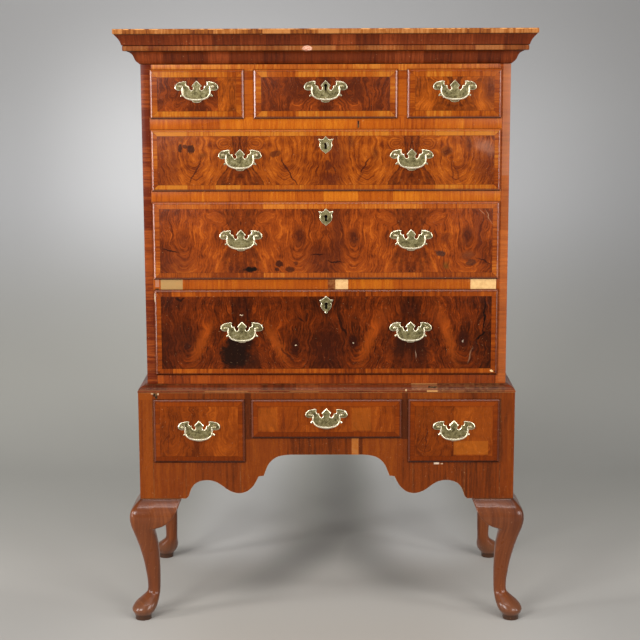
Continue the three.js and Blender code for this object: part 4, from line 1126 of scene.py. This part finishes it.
looks = {
    "short_drawer_left": {
        **shortLook, "figure": {**burrLook, "seed": 21, "eyeU": 40, "wander": 20, "shade": 0.6},
        "band": {**lightBand, "seed": 61},
        "leaf": (54, {
            **plainLook, **noFan, "seed": 24, "handleX": 90, "eyeU": 90, "wander": 8, "shade": 0.45,
        }),
        "knots": [(-95, -20, 16, 9, 20, 0.5, "2E0F06")],
    },
    "short_drawer_centre": {
        **shortLook, "figure": {**burrLook, "seed": 27, "eyeU": 70, "wander": 22, "shade": 0.62},
        "band": {**lightBand, "seed": 67},
        "knots": [(-70, 8, 26, 20, 15, 0.35, "3A1408"), (74, 8, 26, 20, -15, 0.35, "3A1408")],
    },
    "short_drawer_right": {
        **shortLook, "figure": {
            **plainLook, "seed": 33, "handleX": 0, "eyeU": 95, "wander": 9, "shade": 0.5, "fanTop": 22,
            "fanWaist": 16, "fanWaistV": 18, "fanFoot": 56, "fanLow": -40, "fanHigh": 50, "fan": 0.8,
        },
        "band": {**lightBand, "seed": 72}, "knots": [(88, 0, 14, 40, 8, 0.45, "4A1A0A")],
    },
    "long_drawer_upper": {
        "figure": {
            **orangeLook, "seed": 1, "eyeU": 115, "eyeV": 10, "squash": 0.7, "smallU": 44, "smallV": 42,
            "smallSize": 26, "wander": 10, "shade": 0.5, "fanTop": 20, "fanWaist": 12, "fanWaistV": 14,
            "fanFoot": 60, "fanLow": -56, "fanHigh": 56, "fan": 0.85, "outerShade": 0.14,
        },
        "band": {**lightBand, "seed": 75}, "inner": 17, "lip": "96420F", "topCoat": 0.05,
        "bandShades": (-0.26, 0, 0.24), "knots": [
            (-371, 31, 5, 13, 0, 0.92, "2E1208"), (-358, 36, 9, 4, -15, 0.8, "331509"),
            (-344, 29, 9.5, 11, 0, 0.92, "2E1208"), (-368, 55, 5, 7, 0, 0.6, "3A1508"),
            (-314, 12, 11, 7, 30, 0.55, "4A240E"), (-334, -30, 1.9, 34, -28, 0.85, "3C1407"),
            (-128, 18, 13, 9, 10, 0.7, "40180A"), (-96, -26, 2.0, 40, 33, 0.9, "3C1407"),
            (126, 16, 8, 15, 0, 0.55, "4A220E"), (99, -14, 2, 21, -30, 0.9, "3C1407"),
            (88, -42, 3, 14, -34, 0.6, "4A1A0A"), (308, 22, 13, 11, 12, 0.8, "40180A", 0.5),
            (323, -28, 1.8, 28, 8, 0.7, "4A1A0A"), (336, -32, 1.6, 26, 22, 0.55, "4A1A0A"),
            # The pale mauve mark at x 405, z 34 is a painted sheen
            (365, 43, 10, 22, 0, 0.75, "4A1C0B", 0.6), (405, 34, 24, 13, -25, 0.4, "A07460"),
            (404, -10, 22, 40, 0, 0.45, "5E2812"), (64, 48, 11, 19, 0, 0.7, "4E200C", 0.9),
            (30, 22, 15, 40, 14, 0.6, "501C0B"), (6, -12, 8, 12, 0, 0.7, "42180A"),
            (14, -46, 24, 12, 0, 0.6, "4E1C0B"), (-424, 0, 14, 60, 0, 0.45, "6A2C10"),
            (-392, 4, 12, 60, 4, 0.4, "5A2410"), (-20, 50, 10, 14, 0, 0.5, "582410"),
        ],
    },
    "long_drawer_middle": {
        "figure": {
            **brownLook, "seed": 5, "eyeU": 149, "eyeV": 8, "squash": 0.5, "smallU": 60, "smallV": 60,
            "smallSize": 16, "wander": 11, "shade": 0.5, "fanTop": 45, "fanWaist": 24, "fanWaistV": 20,
            "fanFoot": 62, "fanLow": -80, "fanHigh": 78, "fan": 0.66, "outerShade": 0.2,
        },
        "band": {**warmBand, "seed": 81}, "inner": 18.5, "lip": "863A0E", "topCoat": 0.25,
        "bandShades": (-0.08, 0.18, 0.05), "knots": [
            (-365, 2, 13, 20, 0, 0.5, "4A1C0C", 0.8), (-68, 12, 15, 28, 0, 0.85, "3A1408", 0.8),
            (72, 8, 13, 22, 0, 0.85, "3A1408", 0.8), (363, 12, 14, 25, 0, 0.85, "3A1408", 0.6),
            (-194, -74, 19, 7, 2, 1.0, "120602"), (-120, -60, 10, 7, -20, 0.9, "2C0F07"),
            (-127, -75, 6, 6, 0, 0.85, "2C0F07"), (-93, -74, 12, 6.5, -6, 0.85, "301107"),
            (-78, -58, 6, 5, 0, 0.7, "3A1508"), (307, 6, 12, 14, 0, 0.7, "4A1A0C", 0.5),
            (296, -33, 13, 9, -12, 0.85, "34201A"), (366, -38, 14, 9, 0, 0.6, "4A2A1C"),
            (373, -57, 12, 8, 0, 0.75, "3A1E14"), (394, 14, 9, 60, 3, 0.5, "522010"),
            (310, -66, 8, 8, 0, 0.6, "4A3A12"), (-402, -58, 46, 26, 0, 0.5, "4E1F0E"),
            (-20, -52, 40, 30, 0, 0.45, "4E1F0E"), (30, 16, 14, 70, 4, 0.6, "441809"),
            (-402, -24, 24, 1.7, -14, 0.95, "240A04"), (-18, -35, 20, 1.7, 0, 0.95, "240A04"),
            (24, -54, 21, 1.9, -8, 0.9, "240A04"), (405, -51, 20, 1.8, -22, 0.9, "240A04"),
            (417, 62, 0.8, 17, 27, 0.55, "B8845C"), (400, 74, 0.8, 9, 40, 0.45, "B07C58"),
            (-244, -72, 14, 12, 0, 0.6, "3A1208", 1.0), (-424, 40, 2, 44, 8, 0.6, "4E1C0C"),
        ],
    },
    "long_drawer_lower": {
        "figure": {
            **darkLook, "seed": 9, "eyeU": 140, "eyeV": -20, "squash": 0.5, "smallU": 20, "smallV": -70,
            "smallSize": 24, "wander": 12, "shade": 0.54, "fanTop": 30, "fanWaist": 24, "fanWaistV": 30,
            "fanFoot": 48, "fanLow": -90, "fanHigh": 90, "fan": 0.6, "outerShade": 0.18,
        },
        "band": {**dullBand, "seed": 84}, "inner": 18, "lip": "622A0C", "bandShades": (0.08, 0, 0.05),
        "topCoat": 0.25, "lipCoat": 0.55, "shine": 0.09, "knots": [
            (-238, -56, 38, 38, 0, 0.95, "170A05"), (-224, -26, 30, 24, 0, 0.8, "1C0C07"),
            (-196, -76, 26, 20, 20, 0.6, "200E07"), (190, -44, 20, 26, 0, 0.66, "200C06"),
            (245, -50, 19, 32, 0, 0.66, "200C06"), (218, -26, 38, 20, 0, 0.6, "2A1208"),
            (113, -20, 13, 62, -21, 0.45, "A5490F"), (316, -6, 12, 70, 17, 0.45, "A54A12"),
            (-324, -26, 13, 50, -25, 0.45, "A5490F"), (-130, -28, 13, 54, 30, 0.45, "A54A12"),
            (150, 40, 14, 44, -8, 0.3, "8A3A10"), (286, 46, 14, 44, 8, 0.3, "8A3A10"),
            (214, -70, 6, 22, 0, 0.5, "5C240C"), (-219, 66, 20, 24, 0, 0.5, "2E1007"),
            (219, 62, 28, 18, 0, 0.5, "2E1007"), (-362, -36, 8, 10, 0, 0.85, "2A0E06"),
            (-366, -10, 30, 46, 0, 0.4, "34150A"), (-80, -36, 11, 22, 0, 0.9, "240B05", 0.25),
            (70, -24, 12, 18, 0, 0.9, "240B05", 0.25), (358, -17, 14, 22, 0, 0.85, "2C0E06", 0.3),
            (-412, 0, 26, 90, 0, 0.4, "401608"), (0, -40, 40, 60, 0, 0.45, "3E1508"),
            (410, 46, 2, 44, -2, 1.0, "160703"), (401, -8, 2.6, 16, -48, 1.0, "160703"),
            (386, -34, 6, 18, -20, 0.7, "2E1007"), (40, 22, 4, 30, 19, 0.9, "1C0904"),
            (-382, 87, 9, 2.6, -38, 0.9, "1C0904"), (-373, 87, 8, 2.4, 40, 0.9, "1C0904"),
            (-66, 36, 9, 3, -30, 0.85, "240C05"), (-50, 42, 3, 11, 0, 0.85, "240C05"),
            (-242, 60, 1.4, 34, 0, 0.8, "200A05"), (-206, 60, 1.4, 34, 2, 0.8, "200A05"),
            (71, -27, 1.6, 2, 0, 0.7, "B8A488"), (356, -21, 2.2, 3.6, 8, 0.7, "A8927C"),
            (-80, -33, 1.8, 2, 0, 0.9, "CDB696"), (374, -62, 1.4, 18, -14, 0.45, "8E7458"),
            (234, -56, 1.1, 9, 2, 0.55, "A88C74"), (-220, 46, 5, 0.9, 0, 0.95, "CDB090"),
            (-100, -60, 3, 26, 42, 0.7, "2A0E06"),
        ],
        "chips": [(431, -102, 5, 2.6, -20, 0.95, "E0C088"), (-444.5, 92, 1.6, 12, 4, 0.8, "BFA07A")],
    },
    "stand_drawer_left": {
        **standLook, "figure": {**standFigure, "seed": 43}, "band": {**redBrownBand, "seed": 86},
        "leaf": (0, {**standFigure, "seed": 43, "shade": 0.42}), "knots": [
            (84, -46, 5, 3, 0, 0.8, "351108"), (78, -22, 1.6, 34, 12, 0.7, "4A1A0A"),
            (-82, -30, 1.6, 34, -4, 0.6, "4A1A0A"),
        ],
    },
    "stand_drawer_centre": {
        **standLook, "band": {**redBrownBand, "seed": 88},
        "figure": {**duskLook, "seed": 47, "eyeU": 150, "eyeV": -60, "wander": 10, "shade": 0.46},
        "knots": [(-112, 4, 3, 34, 0, 0.5, "4A1A0A"), (140, 4, 2, 34, 0, 0.5, "4A1A0A")], "patches": [
            (66, 116, -30, 30, "B8661C", 0.2), (116, 129, -30, 30, "8E4410", 0.2),
            (-178, -128, -30, 30, "A85A18", 0.16),
        ],
    },
    "stand_drawer_right": {
        **standLook, "figure": {**standFigure, "seed": 51}, "band": {**redBrownBand, "seed": 91},
        "leaf": (0, {**standFigure, "seed": 51, "shade": 0.44}),
        "knots": [(-72, -20, 1.5, 36, -6, 0.8, "351108"), (78, -22, 1.5, 36, 10, 0.75, "351108")],
        "patches": [
            (0, 90, -63, -26, "C06E1E", 0.26), (0, 98, -26, 63, "A85A1A", 0.1),
            (-98, 0, 20, 63, "74360E", 0.2),
        ],
    },
}
frontShape = {
    "tuck": 5, "plug": 16, "proud": 8.5, "shoulder": 2.2,
    "lip": [
        (0, -2.5), (0.15, -3.4), (0.5, -4.1), (1.1, -4.7), (2.0, -5.35), (3.1, -6.1), (4.2, -6.85),
        (5.1, -7.4), (5.7, -7.6), (6.3, -7.6), (6.5, -8.1), (6.8, -8.4), (7.2, -8.5),
    ],
    "lockSize": (58, 34, 8), "escutcheonDrop": 40, "handleX": 219, "shortRise": 20.5, "rise": 15.5,
    "keyLift": 1.5,
}
keyholeShape = {"bow": 4.3, "half": 2.7, "drop": 13, "opening": 0.66, "steps": 14}
handleShape = {
    "posts": 42, "ball": 5.6, "reach": 13, "plateThickness": 1.8, "slope": 1.5, "slopeDrop": 0.9, "keyZ": 1,
    "outline": [
        (0, 14.0, True), (7.4, 6.4, False), (12.9, 0, True), (9.0, -3.6, False), (9.4, -8.6, False),
        (14.0, -10.6, False), (18.4, -5.4, False), (19.4, 0.2, True), (25.0, 1.2, False), (27.0, 6.6, False),
        (24.7, 11.2, True), (31.6, 12.0, False), (39.5, 10.6, False), (46.5, 8.8, False), (52.4, 3.6, False),
        (54.9, -3.4, False), (52.2, -8.6, False), (45.6, -11.2, False), (39.4, -11.0, False),
        (35.4, -13.0, True), (35.8, -18.2, False), (41.4, -23.6, True), (40.4, -26.4, True),
        (35.2, -25.2, False), (30.8, -27.2, False), (28.2, -31.2, True), (20.0, -31.0, False),
        (15.2, -35.6, True), (12.2, -36.0, False), (9.4, -39.8, False), (4.6, -41.2, False),
        (0, -41.6, True),
    ],
    # The post as radius and depth: its shank from the drawer's face, its neck from the plate's
    "shank": [(0.01, 29), (4.4, 29), (5.5, 28), (5.5, 25.2), (2.2, 25.1)],
    "neck": [(2.2, 1), (5.2, 0.6), (5.4, -0.8), (4.6, -1.9), (3.4, -3), (2.9, -5), (3.2, -7)],
    "bailEnd": 38.5, "bailDrop": 34, "bailRadius": 1.75, "bailSwell": 1.35, "bailSides": 14,
    # A bead on each arm of the bail: how proud, where, and how far it spreads
    "bead": (0.5, 34.6, -9, 2.2, 6),
    "bailPath": [
        (38.5, 0), (36.4, 0), (35.0, -0.6), (34.5, -2.4), (34.7, -6.8), (35.2, -12), (34.6, -17.5),
        (31.6, -23.4), (26.4, -28.4), (19.4, -31.6), (10.4, -33.4), (0, -34),
    ],
}
escutcheonShape = {
    "thickness": 1.6, "slope": 1.2, "slopeDrop": 0.8, "keyZ": 2.5,
    "outline": [
        (0, 22.4, True), (3.2, 19.2, False), (6.2, 15.4, True), (10.6, 14.0, False), (14.4, 15.0, False),
        (19.2, 15.4, True), (17.2, 11.6, False), (14.8, 7.4, True), (15.6, 2.6, False), (16.2, -2.2, True),
        (14.6, -7.0, False), (11.4, -12.4, False), (6.8, -16.8, False), (2.6, -19.4, False),
        (0, -22.4, True),
    ],
    "slimOutline": [
        (0, 24.2, True), (3.2, 20.4, False), (7.4, 17.2, True), (11.6, 14.2, False), (18.4, 12.6, True),
        (15.8, 9.0, False), (12.8, 5.0, True), (13.6, 0.0, False), (13.0, -5.6, False), (10.4, -11.0, False),
        (6.6, -15.2, False), (3.2, -18.2, True), (3.2, -20.8, False), (0, -23.4, True),
    ],
    "cover": [
        (0, 0), (2.4, -2.6), (2.6, -9), (1.2, -12.6), (0, -13.4), (-1.2, -12.6), (-2.6, -9), (-2.4, -2.6),
    ],
    "coverPlace": (1, 7.6), "coverTurn": 32,
}
boxShape = {
    "side": 10, "bottom": 7, "tailPitch": 48, "tailDepth": 12, "tailNarrow": 0.26, "tailWide": 0.38,
    "boardWidth": 190, "seam": 0.3,
}


def keyholeOutline(x, z):
    bow, half, drop, opening, steps = keyholeShape.values()
    arc = 2 * math.pi - 2 * opening
    angles = [-math.pi / 2 + opening + arc * step / steps for step in range(steps + 1)]
    points = [(x + bow * math.cos(a), z + bow * math.sin(a)) for a in angles]
    return points + [(x - half, z - drop), (x + half, z - drop)]


def frontMesh(name, centre, size, keyZ):
    tuck, plug = frontShape["tuck"], frontShape["plug"]
    profile = [(tuck, plug), (tuck, -seam), (0, -seam), (0, -frontShape["shoulder"])] + frontShape["lip"]
    rings = [[
        (centre[0] + a * (size[0] / 2 - inset), centre[1] + y, centre[2] + b * (size[1] / 2 - inset))
        for a, b in ((-1, -1), (1, -1), (1, 1), (-1, 1))] for inset, y in profile]
    mesh = loftMesh(name, rings, 1)
    if keyZ is None:
        return mesh
    outline = keyholeOutline(centre[0], centre[2] + keyZ)
    return cutBy(mesh, loftMesh("key", [[(x, centre[1] + y, z) for x, z in outline] for y in (-14, 13)]))


def postMesh(centre):
    start = -handleShape["plateThickness"] - seam
    ball, middle = handleShape["ball"], start - handleShape["reach"]
    profile = handleShape["shank"] + [(radius, start + depth) for radius, depth in handleShape["neck"]]
    for step in range(3, 13):
        angle = math.pi * step / 12
        profile.append((max(ball * math.sin(angle), 0.01), middle + ball * math.cos(angle)))
    return turnedMesh("post", profile, centre)


def addHandle(drawer, suffix, x, z, face, keyed):
    shape, plateNode, bail = handleShape, f"{drawer}_plate{suffix}", f"{drawer}_bail{suffix}"
    holes = [keyholeOutline(0, shape["keyZ"])] if keyed else ()
    plate = chamferedPlate("plate", smoothOutline(shape["outline"]), (x, z), face - seam,
                           shape["plateThickness"], shape["slope"], shape["slopeDrop"], holes)
    addPiece(f"{drawer}_back_plate{suffix}", plate, [brassFace, brassEdge], (plateNode,), 20, drawer)
    posts = joined("posts", [postMesh((x + side * shape["posts"], face, z)) for side in (-1, 1)])
    addPiece(f"{drawer}_posts{suffix}", posts, [brassPost], (plateNode,), 40, drawer)
    # The bail: thickest at its lowest point, with a bead on each arm
    axis = face - seam - shape["plateThickness"] - shape["reach"]
    half, sides = shape["bailPath"], shape["bailSides"]
    keys = [Vector(p) for p in half + [(-a, b) for a, b in reversed(half[:-1])]]
    path = smoothPath(keys, 4) + keys[-1:]
    proud, beadX, beadZ, spreadX, spreadZ = shape["bead"]
    rings = []
    for i, spot in enumerate(path):
        ahead = (path[min(i + 1, len(path) - 1)] - path[max(i - 1, 0)]).normalized()
        swell = max(0.0, 1 - abs(spot[0]) / shape["bailEnd"]) * (-spot[1] / shape["bailDrop"])
        bead = math.exp(-((abs(spot[0]) - beadX) / spreadX) ** 2 - ((spot[1] - beadZ) / spreadZ) ** 2)
        radius = shape["bailRadius"] + shape["bailSwell"] * swell + proud * bead
        ring = []
        for side in range(sides):
            angle = 2 * math.pi * side / sides
            across = radius * math.cos(angle)
            ring.append((x + spot[0] - ahead[1] * across, axis + radius * math.sin(angle),
                         z + spot[1] + ahead[0] * across))
        rings.append(ring)
    addPiece(bail + "_swing", loftMesh(bail, rings), [brassRound], (bail,), 60, bail)


def addEscutcheon(drawer, x, z, face):
    shape = escutcheonShape
    outline = shape["slimOutline" if drawer == "long_drawer_lower" else "outline"]
    plate = chamferedPlate("escutcheon", smoothOutline(outline), (x, z), face - 0.05, shape["thickness"],
                           shape["slope"], shape["slopeDrop"], [keyholeOutline(0, shape["keyZ"])])
    addPiece(f"{drawer}_escutcheon", plate, [brassFace, brassEdge], (), 20, drawer)
    if drawer == "long_drawer_upper":
        turn = Matrix.Rotation(math.radians(shape["coverTurn"]), 2)
        cover = [turn @ Vector(p) + Vector(shape["coverPlace"]) for p in shape["cover"]]
        mesh = chamferedPlate("cover", cover, (x, z), face - 1.7, 1.2, 0.6, 0.5)
        addPiece(f"{drawer}_keyhole_cover", mesh, [brassEdge, brassEdge], (), 20, drawer)


# The oak box behind a front: dovetailed sides, back and bottom boards.
def addDrawerBox(drawer):
    (x0, y0, z0), (x1, y1, z1) = boxOf(drawer + "_box")
    side, gap = boxShape["side"], boxShape["seam"]
    sides = [boardMesh("side", (x, y0, z0), (x + side, y1, z1), 0.6) for x in (x0, x1 - side)]
    tails = max(2, round((z1 - z0) / boxShape["tailPitch"]))
    pitch = (z1 - z0) / tails
    ends = ((y0 + 0.5, boxShape["tailNarrow"]), (y0 - boxShape["tailDepth"], boxShape["tailWide"]))
    for index in range(tails):
        middle = z0 + pitch * (index + 0.5)
        (near, narrow), (deep, wide) = ((y, pitch * share) for y, share in ends)
        outline = [
            (near, middle - narrow), (deep, middle - wide), (deep, middle + wide), (near, middle + narrow),
        ]
        for edge in (x0 - 0.2, x1 - side + 0.2):
            sides.append(loftMesh("tail", [[(x, y, z) for y, z in outline] for x in (edge, edge + side)]))
    back = boardMesh("back", (x0 + side + 0.1, y1 - side, z0), (x1 - side - 0.1, y1, z1 - 2), 0.6)
    width = x1 - x0 - 2 * side
    count = max(1, round(width / boxShape["boardWidth"]))
    boards = []
    for index in range(count):
        a, b = (x0 + side + width * (index + share) / count for share in (0, 1))
        high = (b - gap, y1 - side - 0.2, z0 + boxShape["bottom"])
        boards.append(boardMesh("bottom", (a + gap, y0, z0), high, 0.5))
    for label, mesh, grain in (("sides", joined("sides", sides), "y"), ("rear", back, "x"),
                               ("bottom", joined("bottom", boards), "y")):
        addPiece(f"{drawer}_{label}", mesh, [oakAlong[grain]], (drawer + "_box",), body=drawer)


def addLock(drawer, x, back, z):
    width, height, thick = frontShape["lockSize"]
    low = (x - width / 2, back + 0.05, z - height / 2)
    plate = boardMesh("lock", low, (x + width / 2, back + thick, z + height / 2))
    profile = [(0.01, thick - 0.5), (3, thick - 0.5), (3, thick + 1), (0.01, thick + 1)]
    pin = turnedMesh("pin", profile, (x, back, z - 2))
    addPiece(drawer + "_lock", joined("lock", [plate, pin]), [lockBrass], body=drawer)


def addDrawer(drawer):
    low, high = boxOf(drawer + "_front")
    plane = standFront if drawer.startswith("stand") else caseFront
    x, _, z = (low + high) / 2
    size = (high[0] - low[0], high[2] - low[2])
    long = drawer.startswith("long")
    rise = frontShape["shortRise" if drawer.startswith("short") else "rise"]
    keyZ = size[1] / 2 - frontShape["escutcheonDrop"] if long else rise
    keyed = long or drawer == "short_drawer_centre"
    face = plane - frontShape["proud"]
    veneer = frontMaterial(drawer, (x, plane, z), size, looks[drawer])
    mesh = frontMesh(drawer + "_face", (x, plane, z), size, keyZ + frontShape["keyLift"] if keyed else None)
    addPiece(drawer + "_face", mesh, [veneer, oakAlong["x"]], (drawer + "_front",), 24,
             drawer)
    if keyed:
        addLock(drawer, x, plane + frontShape["plug"], z + keyZ)
    if long:
        addEscutcheon(drawer, x, z + keyZ, face)
    for side, suffix in ((-1, "_left"), (1, "_right")) if long else ((0, ""),):
        addHandle(drawer, suffix, x + side * frontShape["handleX"], z + rise, face, keyed and not long)
    addDrawerBox(drawer)


for drawerName in looks:
    addDrawer(drawerName)
print("drawers made")
